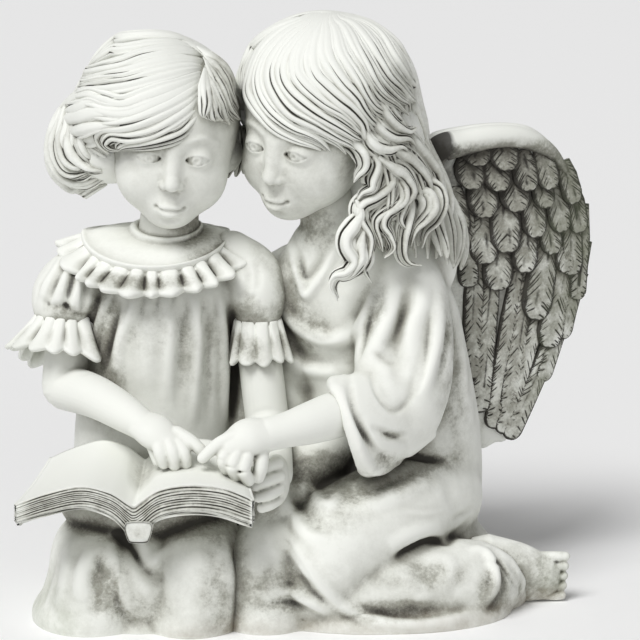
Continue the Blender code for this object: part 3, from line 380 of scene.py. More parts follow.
def dome_point(dome, around, up, lift=0.0):
    """A point on a hair dome: around from the front towards +X and up from its middle, in degrees."""
    middle, radii = dome
    a, e = math.radians(around), math.radians(up)
    ray = np.array([math.cos(e) * math.sin(a), -math.cos(e) * math.cos(a), math.sin(e)])
    return np.array(middle) + ray * (np.array(radii) + lift)


def hug(dome, rows, lift=0.0, hold=1.0):
    """Pulls a row of points onto a hair dome. Past the share called hold, it lets go."""
    middle, radii = np.array(dome[0], float), np.array(dome[1], float)
    ray = rows - middle
    near = np.linalg.norm(ray / radii, axis=1, keepdims=True)
    held = middle + ray / near + unit_rows(ray / radii**2) * lift
    share = np.linspace(0, 1, len(rows))[:, None]
    free = np.clip((share - hold) * 6, 0, 1)
    return held * (1 - free) + rows * free


def on_dome(dome, x, z):
    """The front point of a hair dome over x and z. Past its rim, the point stays at the rim's depth."""
    (cx, cy, cz), (rx, ry, rz) = dome
    left = 1 - ((x - cx) / rx) ** 2 - ((z - cz) / rz) ** 2
    return (x, cy - ry * math.sqrt(max(left, 0.0)), z)


def from_dome(dome):
    middle, radii = np.array(dome[0]), np.array(dome[1])
    return lambda rows: (rows - middle) / radii**2


def from_axis(x, y):
    return lambda rows: (rows - np.array([x, y, 0.0])) * np.array([1, 1, 0])


def hair_cap(dome, facing, tilt, spread):
    """The dome under the locks. It leaves the face free: its axis leans away from where the face looks."""
    middle, radii = np.array(dome[0], float), np.array(dome[1], float) - 1.5
    lean, turn = math.radians(tilt), math.radians(facing)
    axis = Vector((-math.sin(turn) * math.sin(lean), math.cos(turn) * math.sin(lean), math.cos(lean)))
    matrix = np.array(axis.to_track_quat("Z", "Y").to_matrix())
    down = np.radians([4, 14, 26, 38, 50, 62, 74, 86, spread, spread, spread])[:, None]
    deep = np.array([1] * 9 + [0.85, 0.6])[:, None, None]
    around = np.linspace(0, 2 * math.pi, 72, endpoint=False)
    rays = [np.sin(down) * np.cos(around), np.sin(down) * np.sin(around), np.cos(down) + 0 * around]
    rings = (np.stack(rays, -1) @ matrix.T) * radii * deep
    return skin(middle + rings[::-1])


def lock(rows, width, thick, outward, seed=0, grooves=3, twist=0.0, calm=0.5):
    """A lock of hair with a pointed tip. Uneven grooves run along it, shallow at the root when it's calm."""
    rng = np.random.default_rng(seed)
    along = unit_rows(np.gradient(rows, axis=0))
    normal = unit_rows(outward(rows))
    across = unit_rows(np.cross(along, normal))
    normal = np.cross(across, along)
    share = np.linspace(0, 1, len(rows))
    roll = (twist * np.sin(share * 2 * math.pi + rng.uniform(0, 6)))[:, None]
    cos, sin = np.cos(roll), np.sin(roll)
    across, normal = across * cos + normal * sin, normal * cos - across * sin
    full = np.minimum(1, 0.3 + 3 * share) * np.minimum(1, 0.03 + 2.0 * (1 - share)) ** 0.75
    top = np.linspace(0, math.pi, 7 * grooves + 5)
    under = np.linspace(math.pi, 2 * math.pi, 6)[1:-1]
    turn = np.concatenate([top, under])
    reach = np.cos(turn)
    arch = np.where(turn <= math.pi, np.abs(np.sin(turn)) ** 0.8, -0.6 * np.abs(np.sin(turn)))
    places = np.linspace(-0.72, 0.72, grooves) + rng.uniform(-0.12, 0.12, grooves)
    depths = rng.uniform(0.3, 0.75, grooves)
    drift = 0.10 * np.sin(share[:, None] * rng.uniform(2, 6, grooves) + rng.uniform(0, 6, grooves))
    sunk = np.zeros((len(rows), len(turn)))
    for place, depth, sway in zip(places, depths, drift.T):
        near = (reach[None, :] - place - sway[:, None]) / (0.36 / grooves)
        sunk += depth * np.exp(-near**2) * (arch > 0)
    sunk *= (calm + (1 - calm) * np.clip(share * 2.2 - 0.3, 0, 1))[:, None]
    rise = arch * (1 - np.minimum(sunk, 0.8))
    shape = across[:, None] * (reach[None, :, None] * width / 2 * full[:, None, None])
    rooted = calm + (1 - calm) * np.clip(share * 1.8, 0, 1)
    shape = shape + normal[:, None] * (rise * thick * (rooted * full**0.7)[:, None])[:, :, None]
    return skin(rows[:, None] + shape)


def draped(dome, route, crown=None):
    """Dense points of a route that lies on the front of a dome. It may start at a crown behind the top."""
    rows = smooth_path([on_dome(dome, x, z) for x, z in smooth_path(route, 28)], 52)
    if crown is not None:
        rows = smooth_path(np.vstack([crown, rows[2::3]]), 56)
    return hug(dome, rows)


def fringe(clay, dome, routes, width, thick, seed, crown=None):
    """Broad locks on the front of a dome, with lower ones between them so that no gap shows."""
    lines = [draped(dome, route, crown) for route in routes]
    for i, rows in enumerate(lines):
        clay.add(lock(rows, width, thick, from_dome(dome), seed + i, calm=0.25))
    for i in range(len(lines) - 1):
        rows = hug(dome, (lines[i] + lines[i + 1]) / 2, -0.8)
        clay.add(lock(rows, width * 0.9, thick * 0.85, from_dome(dome), seed + 50 + i, calm=0.25))


def nape_locks(clay, dome, part, turns, levels, width, thick, seed):
    """Locks from the parting that fall over the back. A level is a height in degrees, a sway and a lift."""
    for i, turn in enumerate(turns):
        points = [dome_point(dome, *part)]
        points += [dome_point(dome, turn + sway, up, lift) for up, sway, lift in levels]
        rows = hug(dome, smooth_path(points, 40), 0.0, 0.72)
        clay.add(lock(rows, width, thick, from_dome(dome), seed + i, calm=0.2))


def free_locks(clay, routes, width, thick, outward, seed, under=0.0):
    """Locks that hang clear of the head. A broader one may lie this far under each."""
    for i, route in enumerate(routes):
        rows = smooth_path([(x, y, z) for x, z, y in route], 8 * len(route))
        clay.add(lock(rows, width, thick, outward, seed + i, 2, 0.25))
        if under:
            rows = (rows - unit_rows(outward(rows)) * under)[::2]
            clay.add(lock(rows, width * 2, thick, outward, seed + 60 + i, 4))


# Locks of the girl with the book, as x and z, or x, z and y where they hang clear. First the sweep
# from her parting over the brow, then the short side, the flipped ends and the locks behind the cheek
GIRL_SWEEP = [
    [(-64, 371), (-80, 378), (-100, 379), (-122, 374), (-134, 363), (-143, 353)],
    [(-61, 367), (-79, 371), (-99, 368), (-114, 362), (-130, 358), (-143, 353), (-150, 344)],
    [(-61, 363), (-77, 365), (-94, 362), (-110, 357), (-126, 354), (-143, 348), (-152, 337)],
    [(-60, 359), (-71, 360), (-90, 356), (-108, 351), (-124, 348), (-138, 346), (-148, 340), (-153, 332)],
    [(-59, 356), (-65, 355), (-83, 350), (-98, 345), (-112, 340), (-124, 342), (-135, 343), (-147, 336),
     (-151, 325), (-150, 315), (-145, 305)],
    [(-59, 355), (-63, 354), (-80, 348), (-95, 342), (-109, 337), (-122, 336), (-133, 338), (-142, 332),
     (-148, 321), (-146, 311), (-140, 303), (-131, 302)],
    [(-58, 354), (-61, 353), (-75, 345), (-92, 338), (-106, 332), (-118, 331), (-129, 332), (-137, 327),
     (-142, 319), (-139, 311), (-132, 306), (-125, 302)],
    [(-58, 353), (-60, 351), (-72, 342), (-88, 334), (-103, 328), (-114, 325), (-125, 323), (-130, 317),
     (-128, 310), (-123, 305)],
    [(-58, 352), (-59, 349), (-68, 337), (-80, 328), (-94, 321), (-108, 318), (-119, 318), (-124, 313),
     (-121, 309), (-115, 308)],
    [(-58, 351), (-58, 343), (-65, 331), (-75, 321), (-88, 316), (-100, 313), (-110, 311), (-116, 308)],
]
GIRL_SHORT_SIDE = [
    [(-66, 373), (-58, 367), (-51, 360), (-45, 351), (-43, 342)],
    [(-62, 369), (-55, 362), (-50, 353), (-45, 342), (-40, 333)],
    [(-60, 365), (-55, 356), (-51, 347), (-46, 335), (-39, 326)],
    [(-59, 359), (-55, 349), (-52, 339), (-49, 331), (-45, 324)],
    [(-58, 357), (-57, 346), (-55, 337), (-53, 331), (-49, 327)],
    [(-59, 359), (-58, 347), (-57, 338), (-56, 331), (-54, 327)],
    [(-60, 360), (-60, 348), (-60, 339), (-61, 333), (-61, 330)],
]
GIRL_FLIP = [
    [(-124, 342, -50), (-135, 343, -38), (-146, 337, -11), (-154, 330, 10), (-160, 320, 6),
     (-163, 309, 3), (-163, 298, -1), (-157, 287, -5), (-149, 283, -9), (-140, 283, -12),
     (-129, 288, -16)],
    [(-122, 336, -53), (-133, 338, -42), (-142, 333, -28), (-152, 327, 2), (-157, 317, -2),
     (-160, 307, -5), (-158, 297, -9), (-153, 290, -13), (-146, 288, -16), (-139, 290, -20)],
    [(-118, 331, -56), (-129, 332, -48), (-140, 328, -32), (-151, 322, -6), (-154, 312, -10),
     (-154, 304, -13), (-151, 297, -17), (-145, 294, -20), (-140, 297, -24)],
    [(-114, 325, -58), (-127, 324, -49), (-138, 321, -35), (-147, 316, -14), (-149, 308, -16),
     (-147, 301, -19), (-142, 296, -21), (-137, 293, -24), (-129, 292, -26)],
    [(-155, 323, 26), (-163, 312, 22), (-166, 302, 18), (-163, 289, 14), (-153, 278, 10), (-143, 277, 6),
     (-132, 280, 2)],
    [(-154, 315, 42), (-163, 307, 38), (-164, 295, 33), (-157, 282, 28), (-144, 275, 24)],
    [(-138, 358, 4), (-144, 344, 8), (-147, 328, 10), (-150, 312, 12), (-153, 300, 12), (-150, 290, 12)],
    [(-134, 356, 18), (-141, 342, 22), (-144, 328, 24), (-147, 312, 26), (-150, 298, 27),
     (-147, 286, 26)],
    [(-128, 356, 30), (-134, 342, 35), (-137, 328, 38), (-141, 312, 39), (-145, 298, 38),
     (-142, 284, 36)],
]
GIRL_BEHIND_CHEEK = [
    [(-48, 326, -8), (-49, 313, -7), (-51, 300, -5), (-52, 286, -4)],
    [(-45, 323, -2), (-45, 311, -1), (-46, 298, 1), (-48, 284, 2)],
    [(-41, 321, 4), (-40, 309, 5), (-41, 296, 7), (-43, 284, 8)],
    [(-38, 318, 12), (-36, 307, 13), (-37, 296, 15), (-38, 285, 16)],
]


def girl_hair():
    mass = Clay()
    mass.add(hair_cap(GIRL_HAIR, 4, 26, 102))
    mass.add(ball((-92, 8, 326), (46, 46, 46)))
    mass.add(ball((-126, 6, 300), (26, 34, 20)))
    mass.add(ball((-134, 0, 308), (20, 26, 28)))
    mass.add(ball((-66, 14, 302), (30, 36, 22)))
    mass.add(hair_cap(GIRL_SIDE_HAIR, 24, 34, 96))
    fringe(mass, GIRL_HAIR, GIRL_SWEEP, 14, 5.5, 10)
    fringe(mass, GIRL_TEMPLE, GIRL_SHORT_SIDE, 11, 5.5, 70)
    free_locks(mass, GIRL_FLIP, 13, 6.5, from_axis(-95, 0), 40, 5)
    free_locks(mass, GIRL_BEHIND_CHEEK, 11, 6, from_axis(-80, 20), 150)
    curl = [(46, 0, 0), (6, 0, 1), (-26, 2, 2), (-46, 4, 10), (-52, 0, 2)]
    nape_locks(mass, GIRL_HAIR, (60, 66), range(74, 256, 12), curl, 18, 6, 60)
    return mass.to_object("girl_hair")


# Locks of the winged girl: the fringe as x and z, then the long falls as x, z and y
ANGEL_FRINGE = [
    [(7, 393), (-14, 384), (-28, 372), (-36, 357), (-38, 343)],
    [(9, 393), (-11, 384), (-25, 370), (-31, 353), (-31, 342), (-23, 331), (-14, 322), (-2, 316),
     (9, 312), (15, 308)],
    [(11, 393), (-7, 383), (-21, 369), (-26, 354), (-23, 342), (-15, 332), (-4, 324), (8, 319), (15, 314),
     (21, 307)],
    [(12, 392), (-4, 382), (-15, 368), (-18, 355), (-13, 343), (-4, 333), (8, 327), (15, 323), (25, 317),
     (35, 311), (41, 302)],
    [(14, 392), (1, 381), (-9, 367), (-10, 355), (-4, 345), (8, 335), (17, 329), (27, 323), (36, 317),
     (41, 315)],
    [(15, 392), (6, 381), (-1, 369), (-1, 357), (6, 348), (17, 339), (27, 333), (35, 326), (40, 320)],
    [(16, 393), (11, 382), (8, 369), (10, 358), (17, 350), (27, 341), (34, 335), (41, 326), (43, 318),
     (50, 311), (60, 306)],
    [(17, 393), (17, 382), (17, 370), (21, 361), (28, 351), (36, 342), (41, 334), (48, 326), (58, 319),
     (70, 312)],
    [(19, 393), (24, 383), (27, 371), (32, 362), (38, 352), (43, 343), (49, 336), (60, 329), (68, 322)],
    [(21, 393), (30, 385), (36, 373), (41, 363), (46, 353), (53, 344), (62, 337), (72, 327)],
    [(23, 393), (36, 387), (45, 376), (51, 365), (57, 355), (65, 347), (74, 336), (80, 326)],
    [(25, 393), (41, 388), (53, 379), (61, 365), (69, 353), (77, 341), (81, 330)],
    [(26, 393), (45, 390), (59, 380), (69, 368), (76, 355), (80, 343)],
]
ANGEL_FALLS = [
    [(15, 325, -52), (25, 318, -52), (35, 313, -51), (41, 306, -51), (42, 298, -51), (38, 292, -50),
     (35, 287, -50)],
    [(42, 314, -44), (48, 305, -43), (54, 300, -42), (63, 301, -41), (67, 302, -40)],
    [(41, 325, -46), (45, 310, -47), (50, 299, -47), (48, 289, -48), (47, 283, -49), (41, 280, -49),
     (37, 275, -50)],
    [(45, 315, -42), (53, 296, -43), (60, 290, -44), (58, 283, -45), (50, 277, -46), (42, 273, -47),
     (39, 268, -47), (41, 261, -48), (46, 251, -49), (45, 240, -50), (42, 231, -51), (47, 222, -52)],
    [(50, 309, -38), (57, 297, -39), (65, 287, -41), (68, 280, -42), (66, 273, -43), (57, 266, -45),
     (55, 259, -46), (59, 252, -47), (61, 244, -49), (55, 238, -50)],
    [(55, 307, -38), (62, 295, -39), (67, 282, -41), (66, 276, -42), (61, 270, -44), (51, 264, -45),
     (49, 258, -46), (52, 249, -48), (54, 242, -49)],
    [(61, 304, -32), (67, 289, -34), (71, 274, -35), (72, 267, -36), (70, 257, -38), (68, 247, -40),
     (68, 238, -41), (72, 233, -42), (80, 232, -44)],
    [(65, 296, -26), (75, 282, -28), (84, 277, -31), (86, 269, -33), (81, 261, -35), (75, 254, -38),
     (72, 243, -40)],
    [(63, 298, -18), (68, 290, -20), (80, 286, -23), (90, 280, -25), (92, 269, -27), (88, 259, -29),
     (82, 252, -32), (80, 242, -34)],
    [(37, 276, -50), (40, 267, -51), (36, 259, -51), (31, 252, -52), (31, 245, -53), (36, 236, -53),
     (31, 229, -54), (23, 226, -55), (21, 219, -55), (25, 211, -56)],
    [(42, 256, -50), (40, 246, -51), (41, 237, -52), (36, 229, -53), (31, 226, -54)],
    [(81, 313, -4), (84, 294, -5), (89, 280, -6), (94, 265, -7), (98, 250, -8), (100, 237, -9),
     (102, 226, -10)],
    [(81, 320, 6), (87, 300, 6), (94, 279, 5), (102, 261, 5), (106, 246, 5), (105, 233, 4),
     (101, 222, 4)],
    [(76, 307, -12), (81, 289, -14), (87, 269, -17), (91, 254, -19), (95, 242, -22), (97, 234, -24)],
    [(83, 303, 18), (91, 281, 18), (100, 265, 17), (107, 249, 17), (110, 233, 16), (108, 220, 16)],
    [(48, 346, -50), (54, 334, -48), (62, 323, -42), (70, 319, -36), (76, 321, -31)],
    [(44, 336, -53), (52, 323, -50), (61, 315, -44), (70, 314, -37), (75, 309, -31)],
    [(41, 325, -55), (48, 313, -53), (57, 308, -48), (66, 309, -42), (72, 303, -35)],
    [(56, 318, -48), (64, 307, -44), (74, 299, -36), (81, 289, -29), (83, 279, -26), (78, 270, -27),
     (73, 262, -30)],
    [(51, 304, -51), (60, 297, -48), (68, 291, -43), (72, 281, -40), (67, 272, -41), (65, 262, -42),
     (71, 253, -41)],
    [(66, 326, -38), (74, 312, -30), (82, 300, -22), (89, 288, -15), (91, 275, -13), (88, 262, -15)],
    [(74, 318, -14), (82, 302, -10), (90, 288, -6), (97, 272, -3), (97, 258, -3), (92, 246, -6)],
    [(72, 344, -6), (75, 332, -9), (78, 318, -8), (81, 304, -4), (87, 288, -2), (93, 273, 0)],
    [(71, 344, 8), (75, 332, 8), (78, 318, 11), (82, 303, 12), (89, 287, 13), (95, 271, 14)],
    [(67, 344, 22), (72, 332, 22), (76, 318, 25), (80, 302, 26), (87, 286, 26), (94, 268, 25)],
]

# Long locks down the side of the head: the turn round the dome, then the fall below it
ANGEL_SIDE = [
    (34, [(58, 300, -44), (60, 278, -44), (56, 256, -44), (58, 238, -44)]),
    (46, [(66, 298, -38), (70, 276, -38), (64, 256, -40), (68, 238, -40)]),
    (58, [(74, 298, -30), (80, 276, -30), (74, 254, -34), (76, 236, -34)]),
    (70, [(80, 300, -18), (88, 276, -20), (84, 254, -24), (84, 234, -26)]),
    (82, [(84, 300, -6), (94, 276, -8), (92, 252, -12), (90, 232, -14)]),
    (96, [(86, 300, 8), (98, 274, 6), (99, 250, 4), (95, 230, 2)]),
    (110, [(84, 300, 20), (98, 272, 20), (103, 246, 18), (101, 224, 16)]),
]
# Height up the dome in degrees and sway round it, from the crown to the rim
SIDE_WAVE = [(70, 0), (50, -4), (28, 3), (8, -2), (-12, 2)]


ANGEL_CROWN = (165, 72)


def angel_hair():
    mass = Clay()
    mass.add(hair_cap(ANGEL_HAIR, -34, 28, 100))
    mass.add(ball((20, 8, 332), (48, 46, 50)))
    mass.add(ball((50, -12, 316), (25, 34, 26)))
    mass.add(limb([(60, -4, 316, 22), (64, 0, 285, 24), (66, 4, 255, 22), (68, 6, 232, 14)]))
    mass.add(limb([(44, 18, 320, 34), (50, 22, 285, 34), (54, 24, 250, 28), (56, 26, 222, 18)]))
    fringe(mass, ANGEL_HAIR, ANGEL_FRINGE, 13, 5.5, 110, dome_point(ANGEL_HAIR, *ANGEL_CROWN))
    return mass.to_object("angel_hair")


def angel_locks():
    mass = Clay()
    crown = dome_point(ANGEL_HAIR, *ANGEL_CROWN)
    for i, (turn, fall) in enumerate(ANGEL_SIDE):
        points = [crown] + [dome_point(ANGEL_HAIR, turn + sway, up) for up, sway in SIDE_WAVE]
        points += [np.array([x, y, z], float) for x, z, y in fall]
        rows = smooth_path(points, 90)
        held = ease(rows[:, 2:3], 306, 332)
        rows = hug(ANGEL_HAIR, rows, -5.0) * held + rows * (1 - held)
        mass.add(lock(rows, 17, 5.5, from_dome(ANGEL_HAIR), 400 + i, 4, calm=0.25))
    free_locks(mass, ANGEL_FALLS, 8, 6, from_axis(40, 10), 240, 4)
    for around in range(96, 262, 13):
        share = (around - 96) / 166
        points = [dome_point(ANGEL_HAIR, 60, 80), dome_point(ANGEL_HAIR, around, 44, 1)]
        points.append(dome_point(ANGEL_HAIR, around, 0, 3))
        sway = 5 * math.sin(around)
        fall = np.array([84 - 78 * share, 20 + 36 * math.sin(share * math.pi), 262.0])
        points += [fall, fall + np.array([5 + sway, 7, -44 + 3 * sway])]
        rows = smooth_path(points, 44)
        held = ease(rows[:, 2:3], 315, 350)
        rows = hug(ANGEL_HAIR, rows, 0.0) * held + rows * (1 - held)
        mass.add(lock(rows, 20, 7, from_dome(ANGEL_HAIR), around, calm=0.2))
    return mass.to_object("angel_locks")


# Girl with the book

# Level ellipses: z, x, y, half width and half depth
GIRL_TRUNK = [
    (-8, -104, -12, 64, 74), (16, -104, -12, 65, 74), (42, -101, -6, 58, 62), (66, -98, 0, 54, 54),
    (90, -98, 2, 55, 50), (115, -99, 1, 53, 47), (150, -96, -1, 52, 43), (185, -92, -3, 49, 41),
    (210, -91, -3, 52, 37), (228, -92, -2, 47, 31), (240, -91, -3, 32, 25), (250, -89, -5, 20, 20),
]
GIRL_SIDE = [
    (-4, -28, 8, 36, 52), (60, -28, 10, 30, 42), (130, -28, 12, 26, 28), (200, -26, 12, 22, 20),
    (222, -26, 12, 14, 14),
]
GIRL_KNEES = [
    [(-8, -136, -50, 40, 54), (6, -136, -52, 41, 56), (18, -134, -56, 36, 52), (34, -133, -58, 32, 49),
     (48, -132, -56, 31, 46), (60, -131, -50, 26, 38), (68, -128, -44, 14, 24)],
    [(-8, -70, -54, 38, 54), (8, -70, -56, 38, 56), (24, -68, -60, 36, 51), (40, -67, -62, 34, 47),
     (54, -66, -60, 29, 42), (66, -66, -54, 20, 30), (72, -68, -48, 11, 18)],
    [(-8, -104, -48, 34, 54), (10, -104, -48, 30, 48), (34, -104, -44, 26, 36), (60, -104, -34, 26, 32)],
]
# Folds of the dress: route of x and z, width, height. The creases are sharper, and are cut last.
GIRL_FOLDS = [
    ([(-150, 236), (-155, 221), (-160, 204)], 6, 2.2),
    ([(-143, 230), (-145, 216), (-147, 202)], 6, 2.2),
    ([(-160, 232), (-167, 219), (-172, 205)], 6, 1.8),
    ([(-109, 209), (-117, 184), (-122, 159)], 7.1, 3.7),
    ([(-117, 210), (-124, 184), (-130, 159)], 6.1, -2.4),
    ([(-125, 211), (-132, 194), (-137, 174)], 7.1, 3.2),
    ([(-132, 210), (-139, 191), (-142, 173)], 5.1, -2),
    ([(-97, 210), (-98, 185), (-101, 151)], 10.1, 1.3),
    ([(-86, 211), (-85, 184), (-87, 142)], 6.1, 2.6),
    ([(-80, 211), (-77, 185), (-80, 133)], 5.1, -1.7),
    ([(-68, 210), (-67, 179), (-70, 126)], 6.1, 3.6),
    ([(-60, 209), (-59, 178), (-61, 125)], 5.1, -1.8),
    ([(-52, 207), (-50, 169), (-50, 122)], 6.1, 3.6),
    ([(-45, 198), (-44, 163), (-45, 121)], 5.1, -2.8),
    ([(-132, 57), (-139, 42), (-141, 24)], 8.1, 4.3),
    ([(-130, 52), (-128, 35), (-129, 14)], 8.1, -1.8),
    ([(-126, 59), (-116, 39), (-109, 16)], 9.1, 4.6),
    ([(-121, 64), (-105, 52), (-89, 32)], 9.1, -4.7),
    ([(-157, 54), (-162, 34), (-168, 14)], 9.1, -2),
    ([(-149, 58), (-150, 39), (-155, 15)], 9.1, 3.2),
    ([(-104, 62), (-97, 47), (-84, 55)], 6.1, 3.2),
    ([(-42, 57), (-36, 30), (-34, 4)], 8.1, -4),
    ([(-49, 58), (-45, 32), (-47, 5)], 9.1, 2.6),
    ([(-30, 27), (-14, 23), (1, 17)], 6.1, 3.2),
]
GIRL_CREASES = [
    ([(-120, 62), (-106, 51), (-94, 38)], 3.4, -1.2),
    ([(-101, 216), (-103, 205), (-104, 197)], 3.3, -1.1),
    ([(-91, 216), (-93, 206), (-94, 198)], 3.3, -1.2),
    ([(-82, 216), (-83, 206), (-84, 197)], 3.3, -1.4),
    ([(-74, 213), (-74, 203), (-75, 192)], 3.3, -1.2),
    ([(-64, 212), (-63, 203), (-64, 191)], 3.3, -1.2),
    ([(-55, 212), (-55, 202), (-55, 192)], 3, -1.1),
    ([(-112, 212), (-114, 203), (-116, 193)], 3, -1.1),
    ([(-121, 212), (-123, 205), (-127, 195)], 3, -1),
    ([(-152, 236), (-159, 222), (-166, 206), (-168, 197)], 4.2, -2.0),
    ([(-146, 232), (-150, 218), (-153, 206), (-154, 197)], 4.2, -2.0),
    ([(-161, 233), (-170, 219), (-175, 204)], 3.8, -1.6),
    ([(-140, 226), (-141, 212), (-142, 200)], 4.2, -1.9),
    ([(-172, 208), (-164, 203), (-155, 204), (-147, 198), (-138, 196)], 3.4, -1.7),
    ([(-35, 229), (-33, 221), (-35, 212)], 4.3, -1.2),
    ([(-41, 208), (-37, 211), (-32, 208), (-28, 211)], 3.3, -1.2),
    ([(-29, 233), (-27, 224), (-28, 213)], 4.3, -1.2),
]
GIRL_BACK_FOLDS = [([(x, 200), (x - 3, 150), (x - 6, 90)], 6, 2.6) for x in range(-136, -40, 15)]


def girl_dress():
    cloth = Clay()
    cloth.add(stack(GIRL_TRUNK))
    cloth.add(stack(GIRL_SIDE))
    for levels in GIRL_KNEES:
        cloth.add(stack(levels))
    cloth.add(limb([(-88, -5, 238, 21), (-86, -8, 262, 19.5), (-84, -8, 285, 20)]))
    cloth.add(limb([(-118, -6, 46, 36), (-130, -50, 46, 30)]))
    cloth.add(limb([(-82, -6, 48, 36), (-70, -54, 48, 30)]))
    # the cloth that carries the book on her lap
    cloth.add(ball((-104, -54, 76), (54, 34, 26)))
    cloth.add(ball((-103, -66, 28), (34, 38, 36)))
    # puffed sleeves
    cloth.add(limb([(-134, -4, 226, 20), (-149, -7, 211, 26), (-155, -10, 198, 25), (-158, -13, 187, 18)]))
    cloth.add(limb([(-46, -4, 232, 18), (-33, -8, 220, 21), (-29, -12, 204, 20), (-28, -15, 190, 15)]))
    dress = cloth.to_object("girl_dress")
    fuse(dress, DRESS_GRAIN, 20)
    carve(dress, GIRL_FOLDS)
    carve(dress, GIRL_BACK_FOLDS, (0, -1, 0))
    soften(dress, 5)
    carve(dress, GIRL_CREASES)
    cut_flat_on_ground(dress)
    return dress


def hoop(middle, half_width, half_depth, count, front_drop=0.0, back_rise=0.0, tip=0.0):
    """A ring of points. It may sink to the front, rise to the back and tip sideways."""
    turn = np.linspace(0, 2 * math.pi, count, endpoint=False)
    x, y = np.cos(turn) * half_width, np.sin(turn) * half_depth
    z = np.where(y < 0, y * front_drop, y * back_rise) + x * tip
    return np.array(middle) + np.stack([x, y, z], -1)


def outward_from(top, hem):
    out = np.cross(unit_rows(np.roll(hem, -1, axis=0) - np.roll(hem, 1, axis=0)), unit_rows(hem - top))
    sign = 1 if np.sum(out[:, :2] * (hem - hem.mean(0))[:, :2]) > 0 else -1
    return unit_rows(out) * sign


def frill(top, hem, pleats, depth, thickness, flare, seed):
    """A gathered band between two hoops. Narrow valleys at the top open into waves along a thick hem."""
    rng = np.random.default_rng(seed)
    turn = np.linspace(0, 2 * math.pi, len(top), endpoint=False)
    steps = np.cumsum(rng.uniform(0.75, 1.3, pleats))
    valleys = np.append(0, steps) / steps[-1] * 2 * math.pi
    slip = rng.uniform(-0.5, 0.5, 5)
    out = outward_from(top, hem)
    down = unit_rows(hem - top)
    strong = rng.uniform(0.35, 1.2, pleats + 1)
    strong[-1] = strong[0]
    bulge = rng.uniform(0.3, 1.2, pleats)
    rings = []
    for share in np.linspace(0, 1, 18):
        sway = sum(s * np.sin(turn * (i + 4) + 9 * s) for i, s in enumerate(slip))
        place = (turn + 0.05 * share * sway) % (2 * math.pi)
        spot = np.clip(np.searchsorted(valleys, place, side="right") - 1, 0, pleats - 1)
        across = (place - valleys[spot]) / (valleys[spot + 1] - valleys[spot])
        gap = np.minimum(across, 1 - across)
        deep = np.where(across < 0.5, strong[spot], strong[spot + 1])
        swell = bulge[spot] * np.sin(across * math.pi) ** 0.8
        open_valley = np.exp(-((gap / (0.09 + 0.20 * share)) ** 2)) * deep
        wave = swell * (0.45 + 0.75 * share) - open_valley * (0.75 + 0.25 * share)
        row = top + (hem - top) * share + out * (2 * flare * share**2 + depth * wave)[:, None]
        rings.append(row + down * (3.6 * share**3 * (swell - open_valley))[:, None])
    last = rings[-1]
    edge = [last + down * thickness * 0.3 - out * thickness * share for share in (0.16, 0.7)]
    inside = [ring - out * thickness * (0.55 + 0.35 * i / 17) for i, ring in enumerate(rings)][::-1]
    return skin(rings + edge + inside)


def yoke():
    """The smooth flat collar: a rolled neckline, a slightly rounded band and a raised lower edge."""
    neck = hoop((-88, -5, 252), 21.5, 21, 160, 0.28, 0.10)
    edge = hoop((-96, -1, 247.5), 49, 46, 160, 0.38, -0.05)
    out = outward_from(neck, edge)
    profile = [
        (-0.10, -5), (-0.08, 0.5), (0.0, 2.6), (0.06, 2.4), (0.12, 0.6), (0.2, 0.6), (0.4, 1.6), (0.6, 2.0),
        (0.8, 1.4), (0.9, 1.6), (0.96, 2.4), (1.0, 1.6), (1.01, -1.0), (0.98, -5),
    ]
    return skin([neck + (edge - neck) * share + out * lift for share, lift in smooth_path(profile, 42)])


def collar_and_frills():
    clay = Clay()
    clay.add(yoke())
    top = hoop((-96, -1, 247), 46.5, 43.5, 624, 0.38, -0.05)
    hem = hoop((-97, -2, 239), 62, 56, 624, 0.42, -0.05)
    clay.add(frill(top, hem, 27, 3.0, 5.0, 0.6, 3))
    top = hoop((-156, -13, 196), 19, 17, 320, tip=0.05)
    hem = hoop((-159, -15, 169), 30, 28, 320, -0.22, -0.7, -0.14)
    clay.add(frill(top, hem, 15, 2.3, 4.2, 1.8, 5))
    top = hoop((-28, -15, 192), 15.5, 14.5, 240)
    hem = hoop((-27, -18, 168), 20, 18, 240, 0.1)
    clay.add(frill(top, hem, 11, 1.9, 3.6, 0.5, 7))
    return clay.to_object("collar_and_frills")


def fingers(clay, rows):
    for path in rows:
        slim = [(x, y, z, 0.9 * radius) for x, y, z, radius in path]
        clay.add(limb(slim, sides=16, steps=14))


